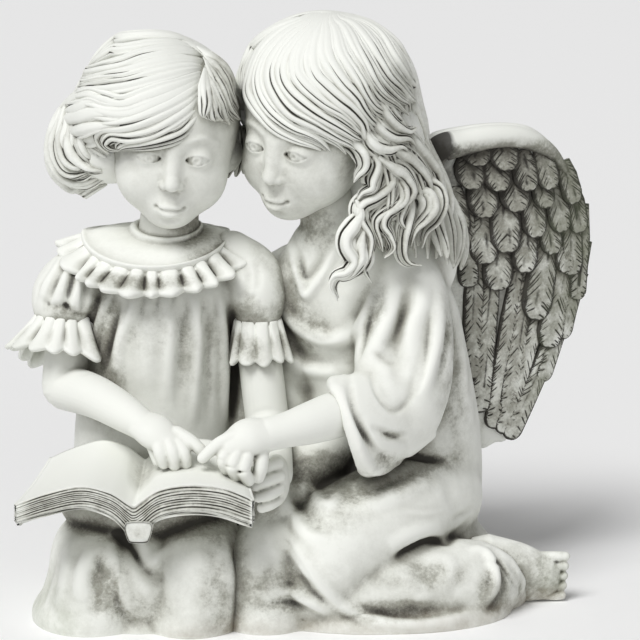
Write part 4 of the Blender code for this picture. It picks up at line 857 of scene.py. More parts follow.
def girl_arms():
    clay = Clay()
    clay.add(limb([(-148, -10, 200, 15), (-154, -16, 170, 15.5), (-156, -22, 148, 15.5)]))
    clay.add(limb([
        (-155, -22, 147, 15.5), (-133, -50, 146, 14), (-112, -74, 140, 12), (-101, -84, 135, 10.2),
    ]))
    # her right hand rests on the page, and one finger points
    clay.add(limb([
        (-103, -83, 136, 10), (-92, -92, 132, 12.5), (-83, -97, 126, 10),
    ], flat=0.75, up=(0.3, -0.8, 0.6)))
    fingers(clay, [
        [(-90, -99, 128, 4.8), (-88, -104, 121, 5.0), (-86, -103, 114, 4.4)],
        [(-83, -101, 127, 4.8), (-80, -105, 121, 5.0), (-79, -104, 113, 4.4)],
        [(-77, -100, 127, 4.6), (-73, -104, 121, 4.8), (-72, -103, 114, 4.2)],
        [(-78, -95, 132, 5.2), (-68, -100, 127, 5.0), (-59, -103, 119, 4.0)],
        [(-95, -90, 128, 5.2), (-92, -95, 120, 4.8), (-90, -97, 114, 4.2)],
    ])
    clay.add(limb([(-30, -14, 195, 14), (-26, -18, 160, 14.5), (-22, -26, 128, 14.5)]))
    clay.add(limb([(-22, -26, 126, 14.5), (-18, -50, 112, 13), (-15, -74, 100, 11)]))
    clay.add(ball((-15, -78, 97), (9, 13, 17)))
    fingers(clay, [
        [(-14, -86, 110, 4.6), (-21, -92, 109, 4.8), (-29, -94, 106, 4.4)],
        [(-13, -88, 102, 4.8), (-20, -94, 101, 5.0), (-28, -96, 98, 4.4)],
        [(-13, -88, 94, 4.8), (-19, -94, 92, 4.8), (-26, -95, 90, 4.2)],
        [(-14, -86, 86, 4.4), (-19, -91, 84, 4.4), (-24, -92, 82, 3.8)],
    ])
    arms = clay.to_object("girl_arms")
    fuse(arms, LIMB_GRAIN, 3)
    return arms


# Book

# Across the open book from -1 to 1: height of the page, then depth of the block as a share
PAGE_TOPS = [
    (-1.0, 0.0), (-0.76, 6.5), (-0.46, 11.5), (-0.22, 8.0), (-0.06, 1.0), (0.0, -1.0), (0.06, 2.0),
    (0.22, 9.5), (0.47, 12.5), (0.74, 11.0), (0.93, 6.0), (1.0, 3.0),
]
BLOCK_DEPTHS = [
    (-1.0, 0.95), (-0.76, 1.0), (-0.46, 1.03), (-0.22, 1.08), (-0.12, 1.2), (-0.07, 1.5), (0.0, 1.45),
    (0.07, 1.55), (0.12, 1.4), (0.22, 1.35), (0.47, 1.35), (0.74, 1.4), (0.93, 1.35), (1.0, 1.25),
]


def book():
    """Two arched page blocks that rise towards the readers, their edges layered, and a flat spine tab."""
    tops, depths = smooth_path(PAGE_TOPS, 141), smooth_path(BLOCK_DEPTHS, 141)
    rng = np.random.default_rng(4)
    layers = 65
    level = np.linspace(0, 1, layers)
    uneven = rng.uniform(0.4, 1.3, 40)[(level * 39).astype(int)]
    waves = np.sin(level * 2 * math.pi * 10.5 + 1.9 * np.sin(level * 9 + 1))
    edge = 0.7 * uneven * waves - 2.2 * (1 - level) * (level < 0.12)
    back = np.linspace(0, 1, 34)

    def at(u, top, depth, share):
        x = -103 + u * 74 * (1 - 0.17 * share) + 3 * share
        z = 94.5 + top + 14.5 * share - 2 * np.sin(share * math.pi)
        return x, z - 14.5 * depth, z

    clay = Clay()
    rings = []
    for (u, top), (_, depth) in zip(tops, depths):
        x, low, high = at(u, top, depth, back)
        y = -132 + 68 * back
        lift = np.linspace(0, 1, layers)
        faded = edge * (0.65 + 0.35 * np.sin(u * 11 + level * 31))
        front = np.stack([x[0] + 0 * lift, y[0] - 0.9 - faded, low[0] + (high[0] - low[0]) * lift], -1)
        rear = np.stack([x[-1] + 0 * lift, y[-1] + 0 * lift, high[-1] - (high[-1] - low[-1]) * lift], -1)
        upper, lower = np.stack([x, y, high], -1)[1:-1], np.stack([x, y, low], -1)[::-1][1:-1]
        rings.append(np.vstack([front, upper, rear[::8], lower]))
    clay.add(skin(rings))
    for end, sign in ((0, -1), (-1, 1)):
        rings = []
        for share in back:
            x, low, high = at(tops[end, 0], tops[end, 1], depths[end, 1], share)
            z = low + (high - low) * level
            outer = np.stack([x + sign * (0.9 + edge), -132 + 68 * share + 0 * z, z], -1)
            inner = outer[::-1].copy()
            inner[:, 0] = x - sign * 3
            rings.append(np.vstack([outer, inner]))
        clay.add(skin(rings))
    tab = [
        (-10, 1), (-9.6, -2), (-7.8, -7), (-5.2, -9.4), (5.2, -9.4), (7.8, -7), (9.6, -2), (10, 1), (7, 4),
        (-7, 4), (-10, 1),
    ]
    rings = []
    ends = [(-133.8, 0.8, 0), (-133.3, 0.93, 0), (-131, 1, 0.3), (-98, 1, 6), (-66, 0.9, 13)]
    for y, grow, rise in [(-133.8, 0.4, 0), *smooth_path(ends, 40)]:
        rows = smooth_path(tab, 41)[:-1]
        rings.append([(-100.5 + 0.9 * x * grow, y, 79.5 + (z + 3) * grow - 3 + rise) for x, z in rows])
    clay.add(skin(rings))
    return clay.to_object("open_book")


# Winged girl

# Level ellipses, and folds and creases, are written as for the girl with the book
ANGEL_TRUNK = [
    (-8, 56, -2, 80, 72), (16, 60, 0, 82, 74), (34, 64, 4, 68, 66), (48, 65, 8, 56, 58),
    (58, 66, 10, 56, 56), (80, 66, 12, 58, 53), (115, 62, 12, 60, 48), (150, 56, 11, 60, 44),
    (175, 50, 9, 61, 41), (200, 43, 6, 62, 37), (218, 37, 3, 57, 33), (232, 29, 0, 42, 27),
    (243, 20, -4, 27, 21), (252, 16, -5, 18, 17),
]
ANGEL_KNEE = [
    (-8, -22, -58, 34, 42), (8, -22, -60, 34, 43), (28, -22, -62, 31, 38), (48, -22, -56, 26, 32),
    (62, -20, -46, 18, 22),
]
ROBE_FOLDS = [
    ([(-16, 209), (-10, 195), (3, 184), (21, 180), (34, 185), (43, 199), (51, 219)], 8.4, 4.2),
    ([(3, 198), (17, 192), (28, 197)], 14.7, -0.7),
    ([(-16, 194), (-8, 176), (7, 166), (23, 165), (34, 173)], 8.4, -2),
    ([(-10, 174), (0, 159), (15, 157), (28, 160)], 7.4, 3),
    ([(-8, 154), (3, 143), (17, 142)], 8.4, -1.4),
    ([(57, 221), (50, 205), (44, 187), (37, 168)], 6.4, -1.8),
    ([(65, 220), (59, 198), (52, 184), (44, 172)], 8.4, 4),
    ([(74, 219), (68, 201), (61, 188), (58, 178)], 6.3, -1.1),
    ([(81, 221), (80, 205), (74, 191), (70, 173)], 8.4, 3.2),
    ([(85, 200), (82, 178), (75, 159), (68, 147)], 6.3, -1.2),
    ([(93, 210), (91, 188), (86, 168), (79, 149)], 8.4, 3.4),
    ([(101, 202), (96, 177), (89, 154)], 7.4, -1.8),
    ([(109, 174), (109, 152), (111, 131)], 8.4, 2.5),
    ([(118, 153), (118, 136), (120, 114)], 8.4, -1),
    ([(54, 169), (58, 159), (66, 147)], 9.5, 2.8),
    ([(36, 145), (46, 117), (58, 110)], 7.4, -2),
    ([(-12, 66), (-2, 53), (12, 35), (31, 16), (60, 7), (93, 6), (119, 11)], 6.3, 3.8),
    ([(-15, 62), (-5, 46), (9, 29), (27, 11), (57, 3), (93, 1)], 6.3, -1.8),
    ([(119, 11), (128, 26), (124, 42), (113, 47)], 6.3, 4.2),
    ([(123, 7), (135, 21), (131, 40), (121, 46)], 6.3, -1.5),
    ([(80, 44), (91, 44), (98, 39), (93, 29), (79, 24)], 9, 1.8),
    ([(52, 41), (68, 36), (85, 16)], 10.5, 2.3),
    ([(62, 47), (72, 51), (83, 54), (98, 50), (116, 58)], 5, -2.2),
    ([(58, 54), (69, 59), (82, 60), (97, 56)], 8.4, 2.8),
    ([(121, 46), (136, 40), (147, 21), (149, 11)], 5.2, 2.8),
    ([(-8, 99), (-12, 84), (1, 68), (16, 60)], 7.4, 3.2),
    ([(-2, 95), (-3, 82), (9, 73), (25, 68)], 7.4, -1.6),
    ([(6, 85), (19, 81), (27, 87)], 6.3, 3),
    ([(36, 89), (50, 87), (69, 93), (92, 98)], 9.5, -1.4),
    ([(39, 81), (61, 85), (86, 90)], 10.5, 2.8),
    ([(97, 93), (100, 78), (109, 60)], 9.5, -1.1),
    ([(-28, 25), (-7, 27), (20, 15), (34, 5)], 6.3, 3),
    ([(-28, 20), (-7, 21), (14, 10)], 6.3, -1.3),
    # rolled neckline, then the hem band of the wide sleeve
    ([(-13, 257), (-6, 236), (-1, 222), (4, 209), (11, 217), (19, 230), (26, 246)], 4.4, 3.4),
    ([(25, 158), (30, 148), (36, 134), (42, 117), (49, 104), (60, 99)], 6, 2.8),
]
ROBE_CREASES = [
    ([(46, 177), (53, 174), (62, 168)], 3.6, -1.6),
    ([(46, 166), (49, 156), (55, 147), (63, 142), (71, 148), (75, 162)], 3.4, -1.6),
    ([(46, 135), (58, 128), (72, 119)], 3.8, -2.2),
    ([(63, 108), (81, 102), (100, 99)], 4.6, -2.3),
    ([(53, 219), (46, 198), (41, 178), (36, 166)], 3.3, -1.4),
    ([(86, 202), (84, 186), (82, 172), (79, 158), (74, 150)], 3.1, -1.1),
    ([(-1, 188), (12, 180), (25, 182)], 3.1, -0.9),
    ([(-23, 169), (-16, 148), (-12, 139)], 3.3, -1.5),
    ([(61, 47), (71, 51), (83, 54), (94, 51)], 3.5, -1.8),
    ([(-12, 65), (-2, 51), (11, 33)], 2.9, -1.4),
    ([(100, 63), (109, 64), (118, 66)], 3.1, -1.3),
    ([(124, 42), (132, 36), (147, 13)], 3.1, -1.2),
    ([(65, 79), (80, 75), (97, 72)], 2.9, -0.6),
    ([(66, 73), (82, 69), (100, 68)], 2.9, -0.6),
    ([(-8, 250), (-1, 236), (4, 222), (11, 229), (18, 240)], 4.4, -1.8),
    ([(32, 166), (34, 150), (40, 134), (49, 120), (60, 109)], 4.2, -2.4),
]
ROBE_BACK_FOLDS = [([(x, 170), (x + 3, 120), (x + 8, 50)], 7, 3.0) for x in range(14, 116, 18)]


def sleeve_mouth():
    """The wide mouth of the sleeve: a thick rolled hem, hollow round the forearm."""
    rows = [
        (84, -36, 138, 22, 20), (66, -48, 136, 30, 25), (48, -60, 132, 34, 28), (35, -67, 130, 35, 28),
        (30, -69, 130, 33, 26), (28, -70, 130, 29, 22), (31, -68, 130, 25, 18), (38, -64, 130, 18, 12),
    ]
    reach = unit_rows(np.array([-0.95, -0.05, -0.3]))
    upward = unit_rows(np.array([-0.38, 0.12, 0.9]) - reach * (reach @ np.array([-0.38, 0.12, 0.9])))
    side = np.cross(reach, upward)
    turn = np.linspace(0, 2 * math.pi, 48, endpoint=False)[:, None]
    rings = []
    for x, y, z, tall, wide in smooth_path(rows, 36):
        rings.append(np.array([x, y, z]) + side * np.cos(turn) * wide + upward * np.sin(turn) * tall)
    return skin(rings)


def angel_robe():
    cloth = Clay()
    cloth.add(stack(ANGEL_TRUNK))
    cloth.add(limb([(24, -3, 232, 20), (18, -5, 262, 18.5), (12, -5, 290, 20)]))
    # left thigh and shin, then the right knee
    cloth.add(limb([(88, -4, 70, 36), (58, -40, 62, 38), (22, -66, 48, 36), (12, -70, 30, 32)]))
    cloth.add(limb([
        (16, -66, 20, 31), (60, -62, 20, 31), (104, -50, 20, 30), (124, -38, 18, 26), (132, -30, 17, 19),
    ]))
    cloth.add(limb([(35, -10, 56, 36), (-4, -52, 46, 34), (-20, -68, 38, 30), (-24, -74, 24, 28)]))
    cloth.add(stack(ANGEL_KNEE))
    cloth.add(ball((50, -42, 2), (92, 60, 20)))
    cloth.add(ball((112, -12, 10), (44, 48, 30)))
    cloth.add(limb([(-14, -60, 66, 18), (-2, -38, 88, 20), (18, -18, 110, 24)]))
    # a wide sleeve falls from the left shoulder over the elbow
    cloth.add(limb([
        (70, 0, 226, 20), (74, -8, 208, 24), (76, -20, 182, 26), (72, -32, 156, 29), (64, -40, 138, 31),
    ]))
    cloth.add(sleeve_mouth())
    cloth.add(limb([(62, -14, 224, 15), (56, -24, 200, 16), (52, -38, 174, 16), (52, -50, 152, 16)]))
    cloth.add(ball((90, 12, 226), (16, 14, 24)))
    cloth.add(limb([(-12, 8, 205, 14), (-7, 6, 165, 18), (-6, 4, 120, 20)]))
    # her right arm goes round the other girl's back
    cloth.add(limb([(0, 14, 218, 22), (-28, 36, 198, 22), (-58, 46, 178, 18), (-76, 46, 170, 14)]))
    cloth.add(limb([(-70, 46, 172, 11), (-92, 47, 165, 10), (-106, 44, 160, 9)]))
    robe = cloth.to_object("angel_robe")
    fuse(robe, ROBE_GRAIN, 18)
    carve(robe, ROBE_FOLDS)
    carve(robe, ROBE_BACK_FOLDS, (0, -1, 0))
    soften(robe, 5)
    carve(robe, ROBE_CREASES)
    cut_flat_on_ground(robe)
    return robe


def angel_arm():
    clay = Clay()
    clay.add(limb([
        (62, -36, 142, 12), (40, -57, 141, 13), (24, -76, 140, 15), (8, -87, 137, 13.8),
        (-8, -95, 134, 11.5), (-20, -99, 132, 11),
    ]))
    clay.add(limb([
        (-20, -100, 132, 11.5), (-32, -104, 131, 13), (-42, -107, 127, 10),
    ], flat=0.8, up=(0, -0.7, 0.7)))
    fingers(clay, [
        [(-40, -108, 133, 5.2), (-51, -110, 128, 4.8), (-61, -110, 119, 4.0)],
        [(-44, -110, 126, 4.8), (-48, -112, 119, 4.8), (-46, -110, 112, 4.4)],
        [(-39, -112, 123, 5.0), (-42, -114, 115, 5.0), (-40, -111, 108, 4.6)],
        [(-33, -112, 120, 5.2), (-35, -114, 112, 5.2), (-32, -111, 105, 4.8)],
        [(-24, -104, 124, 5.8), (-24, -108, 114, 5.4), (-26, -107, 106, 4.8)],
    ])
    arm = clay.to_object("angel_arm")
    fuse(arm, LIMB_GRAIN, 3)
    return arm


def angel_foot():
    clay = Clay()
    clay.add(limb([
        (126, -24, 20, 27), (146, -22, 19, 22), (160, -21, 17, 17),
    ], flat=0.62, up=(0.25, 1, 0)))
    for i in range(5):
        z = 4.2 + 6.7 * i
        clay.add(limb([
            (161, -21, 0.92 * z + 1.5, 4.2), (170 + 0.5 * i, -22, z, 3.6), (176 + 0.6 * i, -22, z, 3.3),
        ], sides=16))
    foot = clay.to_object("angel_foot")
    fuse(foot, LIMB_GRAIN, 2)
    cut_flat_on_ground(foot)
    return foot


# Wings

LEFT_WING = {"root": (84, 34), "run": (0.90, 0.42), "reach": 1.0}
RIGHT_WING = {"root": (34, 40), "run": (0.10, 0.995), "reach": 0.86}


def wing_point(wing, across, height, out=0.0):
    """A point of a wing: across from its root, height above ground, and out from its feathered face."""
    (x, y), (dx, dy) = wing["root"], wing["run"]
    across = across * wing["reach"]
    bow = 9 * np.sin(np.clip(across / 120, 0, 1) * math.pi)
    return np.stack(
        [x + dx * across + dy * (out + bow), y + dy * across - dx * (out + bow), height + 0 * across], -1
    )


# The wing's outline: across and height
WING_EDGE = [
    (3, 298), (6, 306), (12, 311), (39, 315), (64, 315), (81, 311), (99, 298), (114, 276), (121, 262),
    (125, 243), (127, 218), (124, 193), (113, 174), (100, 154), (89, 133), (66, 97), (54, 93), (42, 91),
    (38, 117), (33, 146), (22, 187), (14, 233), (10, 268), (8, 286),
]
# Each feather: tip across and height, lean of its root, length, width and how far its tip stands off
FLIGHT_FEATHERS = [
    (33, 140, 3, 92, 15, 1.5), (39, 116, 11, 116, 15, 1.8), (49, 104, 20, 116, 15, 2.1),
    (59, 116, 21, 108, 15, 2.4), (55, 100, 46, 120, 15, 2.7), (60, 96, 66, 112, 17, 3),
    (88, 134, 33, 72, 16, 2.2), (106, 162, 22, 68, 17, 2.4), (119, 188, 6, 68, 16, 2.6),
]
LONG_COVERTS = [
    (93, 157, 20, 78, 25, 3.4), (81, 178, 16, 74, 27, 3.8), (114, 206, 0, 68, 20, 3.6),
    (30, 204, -3, 64, 15, 3.2),
]
COVERTS = [
    (51, 201, 2, 34, 24, 4.0), (109, 209, -3, 36, 20, 4.2), (41, 220, -1, 34, 23, 4.4),
    (72, 212, 2, 36, 22, 4.6), (96, 223, -4, 34, 20, 4.8), (120, 236, -5, 34, 18, 4.4),
    (23, 240, -3, 34, 17, 4.6), (57, 227, 0, 40, 25, 5.4), (81, 236, -3, 34, 21, 5.4),
    (104, 238, -6, 34, 21, 5.4), (40, 252, -1, 30, 23, 6.0), (65, 255, -3, 30, 25, 6.4),
    (89, 256, -5, 28, 19, 6.4), (115, 257, -8, 30, 18, 5.6), (30, 272, 0, 24, 22, 7.0),
    (50, 270, -1, 26, 22, 7.4), (73, 269, -3, 28, 21, 7.4), (92, 269, -6, 28, 20, 7.6),
    (34, 288, 0, 18, 24, 8.0), (55, 284, -1, 22, 24, 8.4),
]
WING_THICKNESS = 11
FEATHER_THICKNESS = 3.4


def wing_plate(wing):
    edge = smooth_path([*WING_EDGE, WING_EDGE[0]], 97)[:-1]
    middle = edge.mean(0)
    rings = []
    layers = [(0, 0.05), (0, 0.6), (0, 0.97), (0.25, 1.0), (0.75, 1.0), (1, 0.97), (1, 0.6), (1, 0.05)]
    for side, grow in layers:
        flat = middle + (edge - middle) * grow
        rings.append(wing_point(wing, flat[:, 0], flat[:, 1], -WING_THICKNESS * side))
    return skin(rings)


def feather(wing, row, seed, back=False, fine=True):
    """A blade with a rounded tip, off the wing. Its rows slant outwards, and some are cut as barbs."""
    across, height, lean, length, width, lift = row
    rng = np.random.default_rng(seed)
    sign, base = (-1, -WING_THICKNESS) if back else (1, 0.0)
    tip, root = np.array([across, height]), np.array([across + lean, height + length])
    run = (tip - root) / np.linalg.norm(tip - root)
    over = np.array([-run[1], run[0]])
    count = (26 + int(length)) if fine else 14
    grid = np.linspace(0, 1, count)[:, None]
    top = np.linspace(0, math.pi, 21 if fine else 11)
    turn = np.concatenate([top, np.linspace(math.pi, 2 * math.pi, 6)[1:-1]])[None, :]
    reach, rise = np.cos(turn), np.sin(turn)
    rise = np.where(rise > 0, np.abs(rise) ** 0.5, -0.8 * np.abs(rise))
    share = grid + min(0.7 * width / length, 0.4) * (np.abs(reach) - 0.5) * np.sin(grid * math.pi)
    tip_start = 1 - 0.52 * width / length
    past = np.clip((share - tip_start) / (1 - tip_start), 0, 1)
    full = (0.62 + 0.38 * np.minimum(1, share / 0.35)) * np.sqrt(np.maximum(1 - past**2.2, 0.004))
    cup = 0.80 + 0.20 * reach**2
    bend = 0.05 * np.sin(share * 6 + seed)
    shaft = np.exp(-((np.abs(reach + bend) - 0.09) / 0.05) ** 2) * rng.uniform(0.04, 0.14) * (share < 0.85)
    barb = np.zeros(shaft.shape)
    if fine:
        for side in (-1, 1):
            i = int(rng.integers(3, 7))
            while i < count - 4:
                inner, outer = rng.uniform(0.15, 0.65), rng.uniform(0.8, 1.0)
                part = (reach[0] * side > inner) & (reach[0] * side < outer) & (rise[0] > 0)
                barb[i, part] += rng.uniform(0.12, 0.36)
                i += int(rng.integers(3, 8))
    thick = FEATHER_THICKNESS * (rise * cup - (shaft + barb) * (rise > 0))
    spread = over * (reach * width / 2 * full)[:, :, None]
    flat = root + (tip - root) * share[:, :, None] + spread
    stand = lift * np.clip(share, 0, 1) ** 1.5 + thick * (0.35 + 0.65 * full)
    points = wing_point(wing, flat[:, :, 0], flat[:, :, 1], base + sign * stand)
    return skin(points if not back else points[::-1])


def wing_rim(clay, wing):
    """The rolled leading edge, thickest where it curls forward at the top."""
    route = [
        (6, 290, 2, 6.5), (9, 300, 6, 9.5), (25, 304, 6, 9.0), (45, 307, 5, 8.0), (65, 306, 4, 7.5),
        (82, 301, 3, 6.5), (98, 291, 2, 5.0), (112, 273, 1, 3.5), (121, 255, 0, 3.0),
    ]
    rows = [(*wing_point(wing, np.float64(a), z, out - 2), r) for a, z, out, r in route]
    clay.add(limb(rows, sides=48, steps=110))
    arm = [(5, 276, -4, 9), (0, 240, -6, 13), (-8, 200, -8, 17)]
    clay.add(limb([(*wing_point(wing, np.float64(a), z, out), r) for a, z, out, r in arm]))


def build_wing(name, wing, fine):
    clay = Clay()
    clay.add(wing_plate(wing))
    for i, row in enumerate(FLIGHT_FEATHERS + LONG_COVERTS + COVERTS):
        clay.add(feather(wing, row, 200 + i, False, fine))
        clay.add(feather(wing, row, 300 + i, True, False))
    wing_rim(clay, wing)
    return clay.to_object(name)


# Weathering, and shade painted into the colour

# Reach and rays of the occlusion that darkens the colour as painted shade
OCCLUSION_SHADE_REACH = 24.0
OCCLUSION_SHADE_RAYS = 8


def edges_of(obj):
    edges = np.empty(len(obj.data.edges) * 2, np.int32)
    obj.data.edges.foreach_get("vertices", edges)
    return edges.reshape(-1, 2)


def blur(values, edges, rounds):
    """Averages values over neighbouring points of a mesh."""
    values = np.asarray(values, float)
    flat = values.reshape(len(values), -1)
    a, b = edges[:, 0], edges[:, 1]
    degree = np.bincount(np.concatenate([a, b]), minlength=len(flat)).astype(float)
    degree = np.maximum(degree, 1)
    for _ in range(rounds):
        total = np.empty_like(flat)
        for k in range(flat.shape[1]):
            total[:, k] = np.bincount(a, flat[b, k], len(flat)) + np.bincount(b, flat[a, k], len(flat))
        flat = 0.4 * flat + 0.6 * total / degree[:, None]
    return flat.reshape(values.shape)


def store(obj, name, values):
    attribute = obj.data.attributes.new(name, "FLOAT", "POINT")
    attribute.data.foreach_set("value", np.asarray(values, np.float32))


def whole_tree(pieces):
    points, faces, count = [], [], 0
    for obj in pieces:
        spots = points_of(obj)
        points.append(spots)
        faces += [tuple(i + count for i in face.vertices) for face in obj.data.polygons]
        count += len(spots)
    return BVHTree.FromPolygons(np.vstack(points).tolist(), faces)


def occlusion_shade(obj, tree, rays, reach):
    """How much of what a point sees is stone close by, from 0 to 1. The colour darkens with it: painted
    shade, together with the dark that the stone keeps in its hollows.
    """
    points, normals = points_of(obj), normals_of(obj)
    golden = math.pi * (3 - math.sqrt(5))
    fan = []
    for i in range(rays):
        up = 0.25 + 0.7 * (i + 0.5) / rays
        wide = math.sqrt(1 - up**2)
        fan.append((math.cos(golden * i) * wide, math.sin(golden * i) * wide, up))
    side = unit_rows(np.cross(normals, np.array([0.31, 0.52, 0.79])))
    other = np.cross(normals, side)
    starts = [Vector(p) for p in (points + normals * 0.5).tolist()]
    found = np.zeros(len(points))
    for across, over, up in fan:
        ways = unit_rows(side * across + other * over + normals * up).tolist()
        for i, way in enumerate(ways):
            gap = tree.ray_cast(starts[i], way, reach)[3]
            if gap is not None:
                found[i] += 1 - gap / reach
    return found / rays


def ease(values, low, high):
    """0 below low, 1 above high, and smooth between them."""
    share = np.clip((values - low) / (high - low), 0, 1)
    return share * share * (3 - 2 * share)


# Patches of painted shade, under the book, under the chins, under the forearm and between the figures, and
# of stains: middle x and z, half width and height, and strength
SHADE_AND_STAIN_PATCHES = [
    (-100, 79, 74, 17, 1.6), (165, 20, 40, 30, 0.2), (-72, 262, 18, 12, 0.6), (14, 252, 20, 14, 0.45),
    (-34, 150, 13, 62, 0.35), (0, 186, 20, 22, 0.3), (106, 165, 16, 60, 0.4), (44, 98, 62, 14, 0.45),
    (-48, 40, 16, 42, 0.3), (-122, 34, 13, 26, 0.35), (84, 34, 26, 9, 0.25), (50, 200, 10, 26, 0.25),
    (-128, 190, 12, 28, 0.35), (20, 78, 26, 14, 0.25), (-20, 250, 14, 24, 0.35), (-99, 78, 16, 8, 0.35),
    (-62, 170, 20, 36, 0.18), (-152, 199, 14, 7, 0.5), (-30, 198, 16, 10, 0.4), (12, 98, 24, 10, 0.6),
    (-16, 28, 20, 18, 0.35), (60, 14, 30, 7, 0.4), (128, 22, 12, 14, 0.45), (-126, 150, 12, 30, 0.35),
    (-62, 244, 16, 14, 0.45), (-8, 215, 12, 22, 0.3), (56, 113, 7, 5, 0.25), (59, 127, 10, 3, 0.25),
    (-100, 224, 40, 6, 0.4), (-104, 18, 20, 12, 0.2), (-96, 190, 24, 20, 0.2),
]


def wash_and_painted_shade(name, points):
    """How much dark a place takes, from weathering and from painted shade: the wing, the far sides of the
    hair, the book's gutter and tab, the faces and the patches on the cloth. 0 is none, 1 is all, and below 0
    the place is lighter than clean stone, as on the book's pages: painted light.
    """
    x, y, z = points.T
    # The wing: darker all over and on the coverts under the rim, painted shade, and clean on the top of the
    # rim, painted light.
    if "wing" in name:
        return 0.72 - 0.2 * (1 - ease(z, 130, 210)) + 0.2 * ease(z, 250, 285) - 0.8 * ease(z, 296, 309)
    # The winged girl's hair: darker to the right below the crown and behind, painted shade.
    if name in ("angel_hair", "angel_locks"):
        return 0.04 + 0.5 * ease(x, 14, 74) * (1 - ease(z, 340, 385)) + 0.25 * ease(y, 0, 40)
    # The other girl's hair: darker towards the winged girl, low down and behind, painted shade.
    if name == "girl_hair":
        return 0.05 + 0.6 * ease(x, -66, -46) + 0.25 * ease(y, 0, 40) + 0.3 * (1 - ease(z, 300, 345))
    if name in ("girl_arms", "angel_arm"):
        return 0.05 + 0 * x
    # The faces: an even grey, painted shade.
    if name in ("girl_head", "angel_head"):
        return 0.16 + 0.08 * (name == "angel_head") + 0 * x
    # The book: darker in the gutter, on the front edges of the pages and on the tab under the block, painted
    # shade; lighter pages, painted light.
    if name == "open_book":
        gutter = 0.45 * (1 - ease(np.abs(x + 100), 3, 19)) * ease(y, -122, -92)
        return -0.22 + gutter + 0.62 * (1 - ease(y, -132.2, -130.8)) + 0.35 * (z < 84) * ease(y, -133, -125)
    # The cloth: a base grey, more low down and behind, and at the front patches of painted shade and stains.
    weathering_and_shade_share = 0.15 + 0.10 * (1 - ease(z, 20, 90)) + 0.25 * ease(y, 10, 50)
    for middle_x, middle_z, wide, tall, strength in SHADE_AND_STAIN_PATCHES:
        gap = np.hypot((x - middle_x) / wide, (z - middle_z) / tall)
        weathering_and_shade_share += strength * (1 - ease(gap, 0.5, 1.35)) * (1 - ease(y, -25, 5))
    return np.clip(weathering_and_shade_share, 0, 1)


def moss(points):
    x, y, z = points.T
    low = ease(-x, 128, 158) * (1 - ease(z, 14, 52))
    cuffs = ease(-x, 160, 180) * ease(z, 150, 160) * (1 - ease(z, 176, 186))
    return np.clip(low + 0.7 * cuffs + 0.5 * ease(x, 150, 175), 0, 1)


def earth(points):
    x, y, z = points.T
    return (1 - ease(z, 2, 16)) * ease(x, -120, -40)


# How strongly each piece's broad hollows and narrow grooves take the wash and the painted shade
HOLLOW_SHARE = {
    "girl_dress": 0.18, "angel_robe": 0.2, "collar_and_frills": 0.2, "girl_head": 0.05,
    "angel_head": 0.05, "open_book": 0.05, "left_wing": 0.12, "right_wing": 0.12, "girl_hair": 0.12,
    "angel_hair": 0.12, "angel_locks": 0.12, "girl_arms": 0.2, "angel_arm": 0.2,
}
GROOVE_SHARE = {
    "girl_dress": 0.4, "angel_robe": 0.35, "girl_arms": 0.7, "angel_arm": 0.7, "angel_foot": 0.8,
    "girl_head": 0.3, "angel_head": 0.3, "collar_and_frills": 0.65, "open_book": 1.5,
    "girl_hair": 1.5, "angel_hair": 1.6, "angel_locks": 1.6, "left_wing": 1.8, "right_wing": 1.8,
}


def store_weathering_and_shade(pieces):
    """Stores what the stone reads at each point: groove, hollow, the dark of weathering with painted shade
    and light, moss, earth and the occlusion that is painted as shade.
    """
    tree = whole_tree(pieces)
    rays = OCCLUSION_SHADE_RAYS
    for obj in pieces:
        points, normals, edges = points_of(obj), normals_of(obj), edges_of(obj)
        near = blur(points, edges, 4)
        wide = blur(near, edges, 24)
        groove = np.sum((near - points) * normals, 1) * 1.6 + np.sum((wide - points) * normals, 1) * 0.25
        hollow = np.sum((blur(wide, edges, 40) - points) * normals, 1) * HOLLOW_SHARE.get(obj.name, 0.3)
        groove = blur(groove, edges, 1) * GROOVE_SHARE.get(obj.name, 1.0)
        if "wing" in obj.name:
            # a dark rim round the edge of each finely meshed feather: painted shadow line
            size = np.linalg.norm(points[edges[:, 0]] - points[edges[:, 1]], axis=1)
            total = np.bincount(edges.ravel(), np.repeat(size, 2), len(points))
            fine = total / np.maximum(np.bincount(edges.ravel(), minlength=len(points)), 1) < 1.9
            groove = np.maximum(groove, 1.1 * fine * ease(-groove, 0.45, 1.1))
        store(obj, "groove", np.clip(groove, -1, 1.2))
        store(obj, "hollow", np.clip(blur(hollow, edges, 2), -1, 1))
        store(obj, "wash_and_painted_shade", wash_and_painted_shade(obj.name, points))
        store(obj, "moss", moss(points))
        store(obj, "earth", earth(points))
        store(obj, "occlusion_shade", blur(occlusion_shade(obj, tree, rays, OCCLUSION_SHADE_REACH), edges, 4))


# Stone

# Colours of the stone. The film, wash and groove colours also paint shade, and the worn white also paints a
# highlight.
WHITEWASH = (0.86, 0.87, 0.82, 1)
WORN_WHITE_AND_HIGHLIGHT = (0.89, 0.90, 0.86, 1)
GREY_FILM_AND_SHADE = (0.38, 0.38, 0.32, 1)
BROWN_WASH_AND_SHADE = (0.13, 0.12, 0.095, 1)
GROOVE_DARK = (0.03, 0.027, 0.022, 1)
PIT_GREY = (0.25, 0.24, 0.20, 1)
MOSS_GREEN = (0.25, 0.31, 0.17, 1)
EARTH_BROWN = (0.26, 0.19, 0.12, 1)


